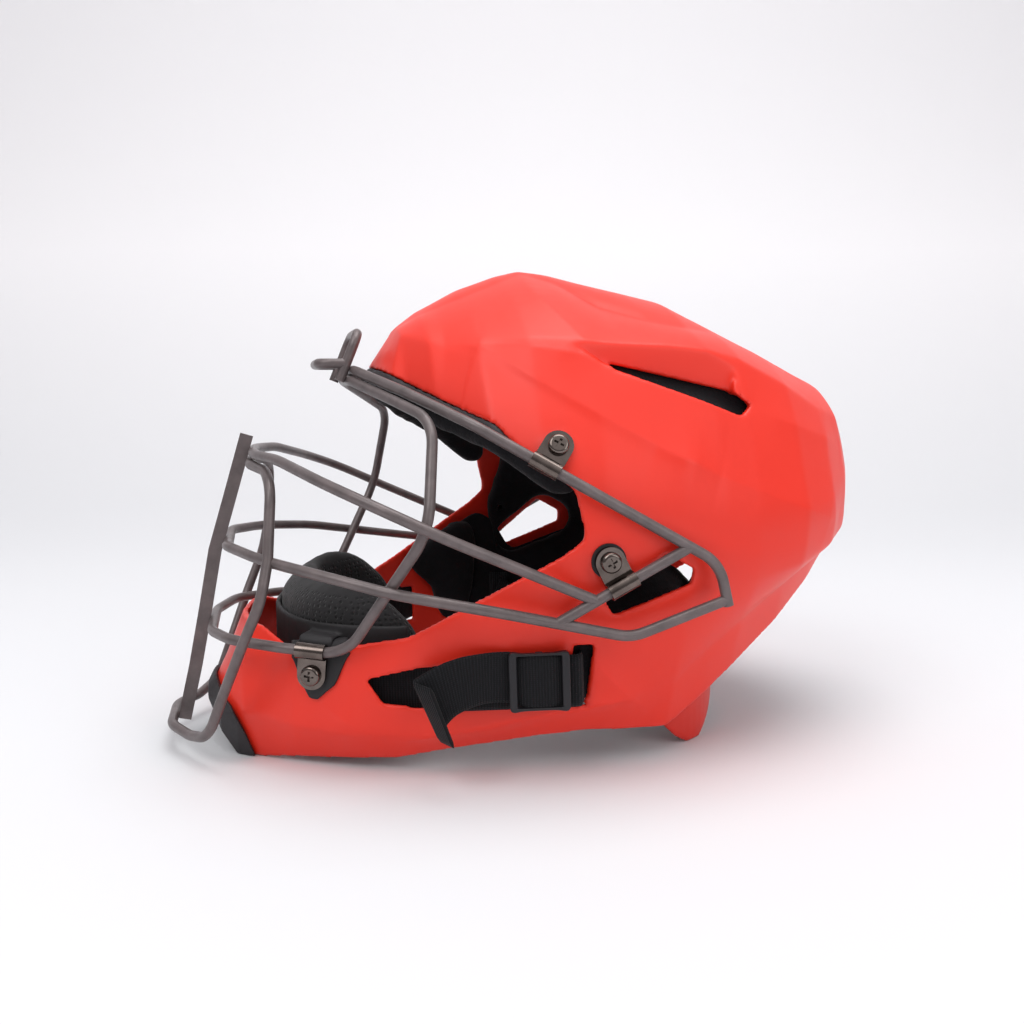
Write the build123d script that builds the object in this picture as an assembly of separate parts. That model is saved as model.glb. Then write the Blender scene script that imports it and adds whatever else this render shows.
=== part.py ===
from build123d import *
import os
from math import cos, radians, sin, tan

os.makedirs("parts", exist_ok=True)

# Baseball catcher helmet: a faceted shell with its jaw, a welded wire face cage clipped on, a chin cup,
# liner pads, and a back plate drawn in by elastic straps.
# X is across, with the wearer's left at +X. The face looks towards -Y. Z is up, and the helmet stands at Z 0.

# Sizes of the whole helmet
SHELL_HALF_WIDTH = 106.5
HELMET_LENGTH = 346.0
CROWN_HEIGHT = 228.0

# Shell
WALL = 3.4
SLOT_CORNER = 1.2
OVERRUN = 14.0
POCKET_FLOOR_SHARE = 0.735

# Face cage
WIRE_DIAMETER = 4.7
WELD_SINK = 0.35
RUN_SHARE = 0.45
BAR_GAP = 0.3
GENTLE_BEND = 70.0
TIGHT_BEND = 11.0
I_BAR_DEPTH = 6.2
I_BAR_WIDTH = 3.4
GUARD_HALF_WIDTH = 21.6
GUARD_BEND = 7.0

# Clips, screws and nuts
CLIP_PLY = 1.2
CLIP_WIDTH = 13.0
CLIP_CLEARANCE = 0.05
SCREW_REACH = 11.0
SCREW_DIAMETER = 4.8
SCREW_CLEARANCE = 0.2
HEAD_DIAMETER = 9.0
HEAD_HEIGHT = 2.5
RECESS_DEPTH = 1.3
RECESS_WIDTH = 1.1
DOME_RADIUS = 1.6
BOSS_RADIUS = 7.0
NUT_RADIUS = 4.6
NUT_HEIGHT = 4.0
NUT_CLEARANCE = 1.0
SEAT_MARGIN = 0.7
BOSS_DEPTH = 6.0
BROW_NUT_DEPTH = 3.3
EAR_NUT_DEPTH = 4.2
JAW_NUT_DEPTH = 3.7
GROMMET_THICKNESS = 1.0
TAB_THICKNESS = 1.6
TAB_MARGIN = 1.5
TAB_TURN = -2.6
TAB_INWARD = 17.0

# Soft pieces
SOFT_GAP = 0.3
PAD_THICKNESS = 11.0
FOREHEAD_THICKNESS = 12.0
BUMPER_THICKNESS = 3.0
CUP_WALL = 2.5
CUSHION_THICKNESS = 17.0
CUSHION_CAP = 5.0
CUP_STEPS = 24
PAD_TAPER = 12.0
PAD_CORNER = 5.0
CHANNEL_WIDTH = 3.0
CHANNEL_DEPTH = 3.0
EAR_MARGIN = 4.0
VENT_MARGIN = 2.0
VENT_GROOVE_DEPTH = 6.0
CROWN_PAD_LENGTH = 100.0
CROWN_PAD_MIDDLE = 22.0

# Straps and sliders
STRAP_WIDTH = 25.0
REAR_STRAP_WIDTH = 19.0
STRAP_THICKNESS = 1.6
STRAP_TILT = 5.1
LAYER_GAP = 0.05
RUN_CLEARANCE = 0.08
THREAD_MARGIN = 0.5
SLIDER_HEIGHT = 29.2
SLIDER_LENGTH = 24.0
SLIDER_THICKNESS = 3.6
SLIDER_BAR = 4.0
SLIDER_CORNER = 3.0
CENTRE_BAR_HEIGHT = 2.0
HEM_LENGTH = 9.0
TAIL_DROOP = 13.0
TAIL_LENGTH = 41.0

# Back plate
PLATE_THICKNESS = 3.0
PLATE_PAD_THICKNESS = 8.0
RIVET_RADIUS = 4.0
RIVET_HEIGHT = 1.6
RIVET_SHANK_RADIUS = 1.6
PLATE_STEPS = 40

# Shell sections from the jaw front to the rear facet. Each row holds the place along the helmet, the
# height of the crown line, and then across and up for the crown ridge, the upper crease, the belt
# crease, the temple, the ear line, the rim crease and the edge.
SHELL_SHARES = [
    (-0.438, 0.121, (0.028, 0.119), (0.047, 0.117), (0.066, 0.112),
     (0.075, 0.109), (0.075, 0.105), (0.066, 0.096), (0.047, 0.088)),
    (-0.419, 0.180, (0.085, 0.171), (0.160, 0.154), (0.225, 0.134),
     (0.272, 0.118), (0.282, 0.110), (0.272, 0.088), (0.235, 0.044)),
    (-0.397, 0.263, (0.094, 0.250), (0.169, 0.232), (0.235, 0.215),
     (0.291, 0.195), (0.310, 0.180), (0.376, 0.105), (0.272, -0.006)),
    (-0.374, 0.368, (0.103, 0.360), (0.188, 0.342), (0.254, 0.316),
     (0.291, 0.289), (0.310, 0.268), (0.441, 0.105), (0.329, -0.002)),
    (-0.334, 0.491, (0.131, 0.478), (0.254, 0.443), (0.376, 0.377),
     (0.469, 0.298), (0.498, 0.250), (0.545, 0.096), (0.432, 0.011)),
    (-0.262, 0.671, (0.178, 0.649), (0.357, 0.588), (0.507, 0.482),
     (0.620, 0.351), (0.657, 0.274), (0.667, 0.088), (0.563, 0.020)),
    (-0.204, 0.807, (0.141, 0.794), (0.282, 0.763), (0.404, 0.715),
     (0.638, 0.526), (0.742, 0.285), (0.732, 0.088), (0.643, 0.026)),
    (-0.175, 0.873, (0.060, 0.871), (0.140, 0.868), (0.230, 0.855),
     (0.545, 0.649), (0.779, 0.303), (0.751, 0.090), (0.667, 0.035)),
    (-0.146, 0.907, (0.130, 0.898), (0.300, 0.875), (0.430, 0.838),
     (0.620, 0.684), (0.808, 0.320), (0.770, 0.092), (0.690, 0.044)),
    (-0.088, 0.954, (0.169, 0.932), (0.560, 0.835), (0.650, 0.793),
     (0.817, 0.662), (0.878, 0.368), (0.808, 0.103), (0.723, 0.055)),
    (-0.030, 0.987, (0.140, 0.969), (0.680, 0.837), (0.788, 0.743),
     (0.930, 0.610), (0.944, 0.404), (0.840, 0.123), (0.761, 0.068)),
    (0.004, 1.000, (0.085, 0.990), (0.715, 0.835), (0.848, 0.713),
     (0.972, 0.579), (0.975, 0.425), (0.850, 0.132), (0.775, 0.072)),
    (0.042, 0.993, (0.180, 0.967), (0.735, 0.831), (0.900, 0.675),
     (0.991, 0.553), (0.992, 0.430), (0.859, 0.138), (0.779, 0.075)),
    (0.091, 0.976, (0.345, 0.912), (0.742, 0.828), (0.936, 0.629),
     (0.997, 0.526), (0.998, 0.408), (0.864, 0.145), (0.789, 0.072)),
    (0.149, 0.957, (0.500, 0.880), (0.745, 0.825), (0.962, 0.586),
     (0.998, 0.496), (0.992, 0.382), (0.859, 0.167), (0.789, 0.069)),
    (0.201, 0.940, (0.520, 0.868), (0.735, 0.821), (0.958, 0.553),
     (0.982, 0.469), (0.967, 0.373), (0.831, 0.230), (0.761, 0.121)),
    (0.253, 0.901, (0.420, 0.862), (0.710, 0.803), (0.935, 0.524),
     (0.948, 0.452), (0.925, 0.377), (0.798, 0.281), (0.714, 0.175)),
    (0.331, 0.844, (0.370, 0.818), (0.650, 0.750), (0.860, 0.513),
     (0.869, 0.447), (0.845, 0.395), (0.685, 0.342), (0.620, 0.254)),
    (0.397, 0.796, (0.330, 0.773), (0.550, 0.703), (0.725, 0.518),
     (0.728, 0.469), (0.714, 0.425), (0.563, 0.386), (0.507, 0.327)),
    (0.449, 0.768, (0.263, 0.743), (0.432, 0.684), (0.535, 0.557),
     (0.540, 0.491), (0.526, 0.443), (0.432, 0.419), (0.385, 0.393)),
    (0.475, 0.702, (0.225, 0.684), (0.338, 0.645), (0.399, 0.570),
     (0.404, 0.504), (0.390, 0.456), (0.338, 0.432), (0.310, 0.419)),
    (0.491, 0.640, (0.178, 0.629), (0.272, 0.605), (0.315, 0.561),
     (0.315, 0.509), (0.305, 0.465), (0.268, 0.441), (0.254, 0.430)),
    (0.500, 0.605, (0.150, 0.599), (0.225, 0.579), (0.254, 0.544),
     (0.254, 0.504), (0.249, 0.469), (0.225, 0.447), (0.216, 0.439)),
]
UPRIGHT_SHARE = 0.45
STRIP_BULGE_SHARES = [0.04, 0.02, 0.04, 0.05, 0.04, 0.0]

# Outlines seen from the side, along and up
BROW_SHARES = [(-0.210, 0.789), (-0.139, 0.724), (-0.082, 0.679), (-0.062, 0.644), (-0.037, 0.612)]
CHEEK_SHARES = [(0.004, 0.561), (0.015, 0.489), (0.014, 0.470), (-0.010, 0.440), (-0.105, 0.355),
                (-0.164, 0.302), (-0.193, 0.279), (-0.246, 0.263), (-0.333, 0.241), (-0.368, 0.272)]
EAR_HOLE_SHARES = [(0.043, 0.351), (0.056, 0.325), (0.155, 0.380), (0.157, 0.409), (0.118, 0.441)]
VENT_SHARES = [(0.062, 0.796), (0.233, 0.741), (0.260, 0.712), (0.242, 0.691), (0.071, 0.781)]
VENT_POCKET_SHARES = [(0.000, 0.8345), (0.068, 0.832), (0.218, 0.826), (0.247, 0.812), (0.234, 0.735),
                      (0.062, 0.789)]
JAW_SLOT_SHARES = [(-0.242, 0.195), (-0.222, 0.150), (-0.190, 0.146), (-0.187, 0.106), (-0.120, 0.110),
                   (-0.120, 0.247), (-0.190, 0.238), (-0.212, 0.214)]

# Cage bars, across, along and up
PERIMETER_SHARES = [(0.225, -0.238, 0.782), (0.582, -0.184, 0.739), (0.864, -0.114, 0.680),
                    (1.042, 0.013, 0.566), (1.056, 0.181, 0.423), (1.056, 0.194, 0.342)]
EYE_FRAME_SHARES = [(0.563, -0.197, 0.722), (0.789, -0.159, 0.688), (0.998, -0.176, 0.496),
                    (0.695, -0.267, 0.246), (0.573, -0.347, 0.254), (0.430, -0.408, 0.258)]
MOUTH_BAR_SHARES = [(0.250, -0.411, 0.431), (0.535, -0.367, 0.422), (0.770, -0.290, 0.404),
                    (0.905, -0.215, 0.379), (1.024, -0.071, 0.340), (1.056, 0.068, 0.292)]
EYE_BAR_SHARES = [(0.469, -0.343, 0.610), (0.808, -0.293, 0.579), (1.005, -0.238, 0.544),
                  (1.060, -0.163, 0.490)]
CHIN_LOOP_SHARES = [(0.357, -0.358, 0.585), (0.498, -0.352, 0.557), (0.582, -0.358, 0.425),
                    (0.638, -0.368, 0.351), (0.582, -0.392, 0.263), (0.488, -0.418, 0.158),
                    (0.455, -0.440, 0.066), (0.300, -0.466, 0.050)]
I_BAR_SHARES = [(-0.382, 0.649), (-0.409, 0.511), (-0.430, 0.405), (-0.445, 0.285), (-0.462, 0.157),
                (-0.4797, 0.042)]
LINK_TOP_SHARE = 0.77
LINK_FOOT_SHARE = 0.66
MOUTH_END_SHARE = 0.86
EYE_END_SHARE = 0.71
EYE_CENTRE_SHARE = 0.620
CHIN_RISE_SHARE = 0.006
GUARD_LEAN = 22.0
GUARD_RISE = 17.0
GUARD_DROP = 7.0
GUARD_REACH = 12.5
GUARD_STEP = 1.7

# Places of the clips along the straight run of wire that each one holds
BROW_CLIP_SHARE = 0.63
EAR_CLIP_SHARE = 0.51
JAW_CLIP_SHARE = 0.48

VISOR_SHARES = [(-0.069, 0.629), (-0.088, 0.655), (-0.146, 0.700), (-0.238, 0.772)]
BUMPER_SHARES = [(-0.481, 0.145), (-0.435, 0.145), (-0.412, 0.110), (-0.395, 0.057), (-0.382, 0.000),
                 (-0.481, 0.000)]
STRAP_SLOT_SHARES = [(0.007, 0.136), (0.033, 0.136), (0.033, 0.268), (0.007, 0.268)]
FOREHEAD_SHARES = [(-0.230, 0.750), (-0.152, 0.669), (-0.094, 0.623), (-0.051, 0.561), (-0.016, 0.513),
                   (0.010, 0.513), (0.014, 0.570), (-0.004, 0.658), (-0.059, 0.772), (-0.140, 0.851)]
SIDE_PAD_SHARES = [(0.056, 0.575), (0.041, 0.482), (0.028, 0.430), (0.041, 0.320), (0.043, 0.288),
                   (0.070, 0.258), (0.110, 0.238), (0.175, 0.218), (0.235, 0.272), (0.285, 0.345),
                   (0.300, 0.420), (0.285, 0.500), (0.250, 0.575), (0.114, 0.630)]
SIDE_TOP_SHARES = [(0.060, 0.585), (0.230, 0.585), (0.300, 0.640), (0.315, 0.730), (0.290, 0.795),
                   (0.055, 0.805)]
JAW_PAD_SHARES = [(-0.135, 0.290), (-0.100, 0.268), (-0.075, 0.240), (-0.075, 0.160), (-0.032, 0.160),
                  (-0.024, 0.263), (-0.018, 0.380), (-0.045, 0.368), (-0.100, 0.325)]
REAR_PAD_SHARES = [(0.330, 0.305), (0.352, 0.305), (0.405, 0.370), (0.445, 0.430), (0.470, 0.491),
                   (0.533, 0.491), (0.533, 0.728), (0.405, 0.755), (0.330, 0.790)]
CROWN_PAD_SHARE = 0.42
REAR_PAD_SHARE = 0.69
SIDE_START_SHARE = 0.72
SIDE_TOP_START_SHARE = 0.52
JAW_START_SHARE = 0.56
CHANNEL_SHARES = [-0.30, 0.0, 0.30]

# The chin cushion's line, across, along, and the heights of its foot and top
CUSHION_SHARES = [(0.540, -0.181, 0.200, 0.276), (0.520, -0.215, 0.200, 0.300), (0.475, -0.247, 0.200, 0.325),
                  (0.319, -0.296, 0.202, 0.364), (0.150, -0.312, 0.206, 0.382), (0.000, -0.317, 0.208, 0.388)]
CUSHION_ROUND_SHARE = 0.46
CUSHION_END_SHARE = 0.50
CUP_BOTTOM_SHARE = 0.184
CUP_TOP_SHARE = 0.290

# The jaw strap: where its plane passes the ear, and its route in that plane, across and along
STRAP_ORIGIN_SHARES = (0.016, 0.2026)
STRAP_SHARES = [(0.640, -0.246), (0.700, -0.188), (0.859, -0.135), (0.955, 0.000), (0.831, 0.009),
                (0.803, 0.033)]
SLIDER_SHARE = 0.626
REAR_STRAP_SHARES = [(0.813, 0.026, 0.200), (0.620, 0.158, 0.105), (0.594, 0.190, 0.090)]
CENTRE_STRAP_SHARES = [(0.3003, 0.190), (0.3003, 0.270), (0.4873, 0.440), (0.4873, 0.484)]

# The back plate, across and along for its outer face, and then its outline from the side
PLATE_SHARES = [(0.657, 0.120), (0.655, 0.155), (0.629, 0.189), (0.577, 0.221), (0.441, 0.259),
                (0.235, 0.289), (0.000, 0.298)]
PLATE_SIDE_SHARES = [(0.143, 0.061), (0.160, 0.053), (0.184, 0.018), (0.204, 0.000), (0.230, 0.000),
                     (0.259, 0.035), (0.288, 0.079), (0.311, 0.096), (0.311, 0.263), (0.276, 0.254),
                     (0.218, 0.202), (0.178, 0.158), (0.143, 0.136)]
PLATE_PAD_SHARES = [(0.206, 0.030), (0.225, 0.020), (0.252, 0.055), (0.288, 0.100), (0.305, 0.110),
                    (0.305, 0.268), (0.276, 0.260), (0.218, 0.208), (0.196, 0.180)]
RIVET_SHARE = 0.60
RIVET_UP_SHARE = 0.100
TOP_RIVET_SHARE = 0.225
RIVET_ROUND_SHARE = 0.70

# The bars beside each clip, and the way the clip faces
HELD_BARS = {"brow": ["perimeter_bar"], "ear": ["side_link_bar_left", "mouth_bar"], "jaw": ["eye_frame_bar"]}
BROW_OUTWARD_SHARES = (0.903, -0.162, 0.387)
EAR_OUTWARD_SHARES = (1.0, 0.0, 0.0)
JAW_OUTWARD_SHARES = (0.900, -0.430, 0.050)


def place(across, along, up, inset=0):
    """A point of the shell's space, drawn in from the outside by an inset."""
    crown_share = max(0, (up - UPRIGHT_SHARE) / (1 - UPRIGHT_SHARE))
    return Vector(
        across * (SHELL_HALF_WIDTH - inset),
        along * (HELMET_LENGTH - 2 * inset),
        up * CROWN_HEIGHT - inset * crown_share,
    )


def between(start, end, share):
    return start + (end - start) * share


def flip(point):
    return Vector(-point.X, point.Y, point.Z)


def flipped(shape):
    return mirror(shape, about=Plane.YZ)


def write(name, shape):
    export_step(shape, f"parts/{name}.step")


def write_both(name, shape):
    """A left piece, and its mirror image on the right."""
    write(f"{name}_left", shape)
    write(f"{name}_right", flipped(shape))


# The shell's form

def bulged(start, end, share):
    """A shallow curve from one crease to the next, swelling outward."""
    run = end - start
    outward = Vector(-run.Z, 0, run.X)
    return Bezier(start, (start + end) / 2 + outward * (2 * share), end)


def shell_wire(row, inset, drop):
    along, top_share, *pair_shares = row
    right = [place(across, along, up, inset) for across, up in pair_shares]
    crest = place(0, along, 2 * top_share - pair_shares[0][1], inset)
    foot = right[-1] - Vector(0, 0, drop)
    edges = [Bezier(flip(right[0]), crest, right[0])]
    for index, share in enumerate(STRIP_BULGE_SHARES):
        edges.append(bulged(right[index], right[index + 1], share))
    if drop:
        edges.append(Line(right[-1], foot))
    edges.append(Line(foot, flip(foot)))
    if drop:
        edges.append(Line(flip(foot), flip(right[-1])))
    for index in reversed(range(len(STRIP_BULGE_SHARES))):
        edge = bulged(right[index], right[index + 1], STRIP_BULGE_SHARES[index])
        edges.append(flipped(edge).edge())
    return Wire(edges)


def shell_form(inset=0, drop=0, first_row=0):
    """The helmet's closed outer form, or the same form inset, which can run on below the edge."""
    rows = SHELL_SHARES[first_row:]
    return Solid.make_loft([shell_wire(row, inset, drop) for row in rows], ruled=True)


def side_outline(point_shares, corner=0):
    face = make_face(Polyline(*[place(0, along, up) for along, up in point_shares], close=True))
    return fillet(face.vertices(), corner) if corner else face


def through(point_shares, corner=0):
    """A cutter right across the helmet."""
    reach = SHELL_HALF_WIDTH + OVERRUN
    return extrude(side_outline(point_shares, corner), amount=reach, dir=(1, 0, 0), both=True)


def offset_side(point_shares, margin):
    """A side outline grown by a margin, as a prism right across."""
    face = offset(side_outline(point_shares), amount=margin)
    return extrude(face, amount=SHELL_HALF_WIDTH + OVERRUN, dir=(1, 0, 0), both=True)


def face_opening():
    front_share = -0.60
    front = [(front_share, CHEEK_SHARES[-1][1]), (front_share, BROW_SHARES[0][1])]
    return through(BROW_SHARES + CHEEK_SHARES + front)


# The bars of the face cage

def bar(points, largest_bend, end_bend=GENTLE_BEND):
    """Bent round wire through the corners of a route. Its first and last corners can be tighter."""
    radii = []
    corners = len(points) - 2
    for index in range(corners):
        before, corner, after = points[index:index + 3]
        half_turn = radians((corner - before).get_angle(after - corner)) / 2
        run = min((corner - before).length, (after - corner).length)
        limit = min(largest_bend, end_bend) if index in (0, corners - 1) else largest_bend
        radii.append(min(limit, RUN_SHARE * run / tan(half_turn)))
    path = FilletPolyline(*points, radius=radii) if radii else Line(*points)
    section = Plane(origin=points[0], z_dir=points[1] - points[0]) * Circle(WIRE_DIAMETER / 2)
    return sweep(section, path=path)


def spots(point_shares):
    return [place(*shares) for shares in point_shares]


def whole_route(points):
    """A route on the left side carried on over the centre to the right."""
    return [flip(point) for point in reversed(points)] + points


def i_bar_line():
    return [place(0, along, up) for along, up in I_BAR_SHARES]


def i_bar_spot(up_share, off):
    """The point at a height share, off the centre line of the flat bar, forward being positive."""
    line = i_bar_line()
    height = up_share * CROWN_HEIGHT
    for top, foot in zip(line, line[1:]):
        if foot.Z <= height <= top.Z:
            point = between(top, foot, (top.Z - height) / (top.Z - foot.Z))
            run = (foot - top).normalized()
            return point + Vector(0, run.Z, -run.Y) * off
    raise ValueError("the height share is off the flat bar")


def make_i_bar():
    """A flat bar down the middle, standing on edge."""
    plane = Plane(origin=(0, 0, 0), x_dir=(0, 1, 0), z_dir=(1, 0, 0))
    route = [Vector(point.Y, point.Z) for point in i_bar_line()]
    return ribbon(plane, route, I_BAR_DEPTH, I_BAR_WIDTH)


def behind_i_bar(up_share):
    return i_bar_spot(up_share, -(I_BAR_DEPTH + WIRE_DIAMETER) / 2 + WELD_SINK)


def perimeter_points():
    return spots(PERIMETER_SHARES)


def brow_centre():
    """The middle of the perimeter bar at the top front."""
    first = perimeter_points()[0]
    return Vector(0, first.Y, first.Z)


def lean():
    """The direction of the crown guard's legs."""
    return Vector(0, sin(radians(GUARD_LEAN)), cos(radians(GUARD_LEAN)))


def lean_forward():
    return Vector(0, -cos(radians(GUARD_LEAN)), sin(radians(GUARD_LEAN)))


def link_ends():
    """Where the left side link leaves the perimeter bar, and where it meets the mouth bar."""
    perimeter = perimeter_points()
    mouth = spots(MOUTH_BAR_SHARES)
    top = between(perimeter[3], perimeter[4], LINK_TOP_SHARE)
    return top, between(mouth[-1], mouth[-2], LINK_FOOT_SHARE)


def front_half(points, centre):
    """The left half of a bar that crosses the middle level with the centre."""
    return [Vector(points[0].X / 2, centre.Y, centre.Z)] + points


def make_cage():
    perimeter = perimeter_points()
    link_top, link_foot = link_ends()
    mouth_end = between(perimeter[4], perimeter[5], MOUTH_END_SHARE)
    mouth = front_half(spots(MOUTH_BAR_SHARES), behind_i_bar(MOUTH_BAR_SHARES[0][2])) + [mouth_end]
    eye_end = between(link_top, link_foot, EYE_END_SHARE)
    eye = front_half(spots(EYE_BAR_SHARES), behind_i_bar(EYE_CENTRE_SHARE)) + [eye_end]
    ring = (WIRE_DIAMETER + BAR_GAP) / CROWN_HEIGHT

    frame_top = brow_centre() - lean() * (WIRE_DIAMETER + BAR_GAP)
    frame = [frame_top, frame_top + Vector(perimeter[0].X, 0, 0)] + spots(EYE_FRAME_SHARES)
    low_centre = behind_i_bar(EYE_FRAME_SHARES[-1][2])
    frame += [Vector(frame[-1].X / 2, low_centre.Y, low_centre.Z), low_centre]

    loop_centre = behind_i_bar(EYE_CENTRE_SHARE - ring)
    front_off = (I_BAR_DEPTH + WIRE_DIAMETER) / 2 - WELD_SINK
    chin_centre = i_bar_spot(I_BAR_SHARES[-1][1] + CHIN_RISE_SHARE, front_off)
    loop = [loop_centre] + front_half(spots(CHIN_LOOP_SHARES), loop_centre)
    loop += [Vector(loop[-1].X / 2, chin_centre.Y, chin_centre.Z), chin_centre]

    bars = {"i_bar": make_i_bar()}
    bars["perimeter_bar"] = bar(whole_route(perimeter), TIGHT_BEND * 2)
    for name, half in (("eye_frame_bar", frame), ("chin_loop_bar", loop)):
        left = bar(half, TIGHT_BEND * 2)
        bars[name] = left + flipped(left)
    bars["mouth_bar"] = bar(whole_route(mouth), GENTLE_BEND, TIGHT_BEND * 2)
    link = bar([link_top, link_foot], TIGHT_BEND)
    bars["side_link_bar_left"] = link
    bars["side_link_bar_right"] = flipped(link)
    bars["eye_bar"] = bar(whole_route(eye), GENTLE_BEND)
    bars["crown_guard_upright"], bars["crown_guard_forward"] = make_guards()
    return bars


def make_guards():
    """Two bent wires on top of the cage, one standing and one reaching forward."""
    base = brow_centre() + lean_forward() * (WIRE_DIAMETER - WELD_SINK)
    across = Vector(GUARD_HALF_WIDTH, 0, 0)
    low = base - lean() * GUARD_DROP
    high = base + lean() * GUARD_RISE
    upright = bar([low - across, high - across, high + across, low + across], GUARD_BEND)
    rear = base + lean() * GUARD_STEP
    front = rear - Vector(0, GUARD_REACH, 0)
    forward = bar([rear - across, front - across, front + across, rear + across], GUARD_BEND)
    return upright, forward


# Bars that meet are cut to fit each other, the earlier one staying whole

def fitted(bars):
    done = {}
    for name, shape in bars.items():
        for earlier in done.values():
            shape = shape - earlier
        done[name] = max(shape.solids(), key=lambda solid: solid.volume)
    return done


# Bands: webbing, clip leaves and plates, drawn as a line with an even thickness

def band(points, thickness):
    """A face around a bent line in a plane."""
    runs = [(after - before).normalized() for before, after in zip(points, points[1:])]
    sides = []
    for index in range(len(points)):
        before = runs[max(index - 1, 0)]
        after = runs[min(index, len(runs) - 1)]
        middle = (before + after).normalized()
        sides.append(Vector(-middle.Y, middle.X) * (thickness / 2 / middle.dot(after)))
    outline = [point + side for point, side in zip(points, sides)]
    outline += [point - side for point, side in reversed(list(zip(points, sides)))]
    return make_face(Polyline(*outline, close=True))


def ribbon(plane, points, thickness, width):
    """A band in the plane, with its width to both sides of it."""
    return extrude(plane * band(points, thickness), amount=width / 2, dir=plane.z_dir, both=True)


def solid_in(plane, face, start, height):
    """A face in the plane, raised from a start along the plane's direction."""
    flat = plane * (Location((0, 0, start)) * face)
    return extrude(flat, amount=height, dir=plane.z_dir)


def disc_in(plane, radius, start, height):
    return solid_in(plane, Circle(radius).face(), start, height)


# Clips. A clip's plane has its centre under the wire, its X along the leaf and its Z off the shell.

def clip_rise():
    return WIRE_DIAMETER / 2 + CLIP_CLEARANCE + CLIP_PLY


def clip_plane(start, end, share, outward_shares, side):
    centre = between(start, end, share)
    along = (end - start).normalized()
    rough = Vector(*outward_shares)
    outward = (rough - along * rough.dot(along)).normalized()
    leaf = along.cross(outward) * side
    return Plane(origin=centre - outward * clip_rise(), x_dir=leaf, z_dir=outward)


def clip_planes():
    """The left clips: each one's plane, the thickness of rubber under it, and the depth of its nut."""
    perimeter = perimeter_points()
    frame = spots(EYE_FRAME_SHARES)
    link_top, link_foot = link_ends()
    return {
        "brow": (clip_plane(perimeter[2], perimeter[3], BROW_CLIP_SHARE, BROW_OUTWARD_SHARES, -1),
                 0, BROW_NUT_DEPTH),
        "ear": (clip_plane(link_top, link_foot, EAR_CLIP_SHARE, EAR_OUTWARD_SHARES, 1),
                GROMMET_THICKNESS, EAR_NUT_DEPTH),
        "jaw": (clip_plane(frame[4], frame[3], JAW_CLIP_SHARE, JAW_OUTWARD_SHARES, 1),
                TAB_THICKNESS, JAW_NUT_DEPTH),
    }


def make_clip(plane):
    """A strip of metal bent round the wire, with both ends under the screw."""
    ring_radius = clip_rise()
    leaf_height = 2 * CLIP_PLY
    ring = Pos(0, ring_radius) * Circle(ring_radius)
    leaf = Pos(SCREW_REACH, leaf_height / 2) * Rectangle(2 * SCREW_REACH, leaf_height)
    profile = (ring + leaf).face()
    side_plane = Plane(origin=plane.origin, x_dir=plane.x_dir, z_dir=plane.x_dir.cross(plane.z_dir))
    strip = extrude(side_plane * profile, amount=CLIP_WIDTH / 2, dir=side_plane.z_dir, both=True)
    outline = SlotCenterToCenter(2 * SCREW_REACH, CLIP_WIDTH)
    strip = strip & solid_in(plane, outline.face(), 0, 3 * ring_radius)
    wire_hole = side_plane * (Pos(0, ring_radius) * Circle(ring_radius - CLIP_PLY))
    strip = strip - extrude(wire_hole, amount=CLIP_WIDTH, dir=side_plane.z_dir, both=True)
    seat = plane.shift_origin(plane.origin + plane.x_dir * SCREW_REACH)
    return strip - disc_in(seat, SCREW_DIAMETER / 2 + SCREW_CLEARANCE, 0, 3 * CLIP_PLY)


def screw_plane(plane):
    return plane.shift_origin(plane.origin + plane.x_dir * SCREW_REACH)


def make_screw(plane, nut_depth):
    """A low domed screw with a cross recess, long enough to pass its nut."""
    seat = screw_plane(plane)
    base = 2 * CLIP_PLY
    head = disc_in(seat, HEAD_DIAMETER / 2, base, HEAD_HEIGHT)
    rim = [edge for edge in head.edges().filter_by(GeomType.CIRCLE)
           if (edge.center() - seat.origin).dot(seat.z_dir) > base + HEAD_HEIGHT / 2]
    head = fillet(rim, DOME_RADIUS)
    recess = Rectangle(HEAD_DIAMETER / 2, RECESS_WIDTH) + Rectangle(RECESS_WIDTH, HEAD_DIAMETER / 2)
    head = head - solid_in(seat, recess.face(), base + HEAD_HEIGHT - RECESS_DEPTH, 2 * RECESS_DEPTH)
    end = nut_depth + NUT_HEIGHT + NUT_CLEARANCE
    return head + disc_in(seat, SCREW_DIAMETER / 2, -end, end + base)


def make_nut(plane, nut_depth):
    seat = screw_plane(plane)
    nut = solid_in(seat, RegularPolygon(NUT_RADIUS, 6).face(), -nut_depth - NUT_HEIGHT, NUT_HEIGHT)
    return nut - disc_in(seat, SCREW_DIAMETER / 2, -nut_depth - 2 * NUT_HEIGHT, 2 * OVERRUN)


def nut_space(plane, nut_depth, margin):
    """The round room inside the helmet that a nut needs."""
    return disc_in(screw_plane(plane), NUT_RADIUS + margin, -nut_depth - OVERRUN, OVERRUN)


def make_grommet(plane):
    seat = screw_plane(plane)
    ring = disc_in(seat, CLIP_WIDTH / 2, -GROMMET_THICKNESS, GROMMET_THICKNESS)
    return ring - disc_in(seat, SCREW_DIAMETER / 2 + SCREW_CLEARANCE, -2 * GROMMET_THICKNESS, OVERRUN)


# The shell and what is moulded with it

def vent_pocket(margin):
    start = POCKET_FLOOR_SHARE * SHELL_HALF_WIDTH - margin
    face = side_outline(VENT_POCKET_SHARES)
    face = offset(face, amount=margin) if margin else face
    reach = OVERRUN + SHELL_HALF_WIDTH - start
    left = extrude(face.moved(Location((start, 0, 0))), amount=reach, dir=(1, 0, 0))
    return left, flipped(left)


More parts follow.
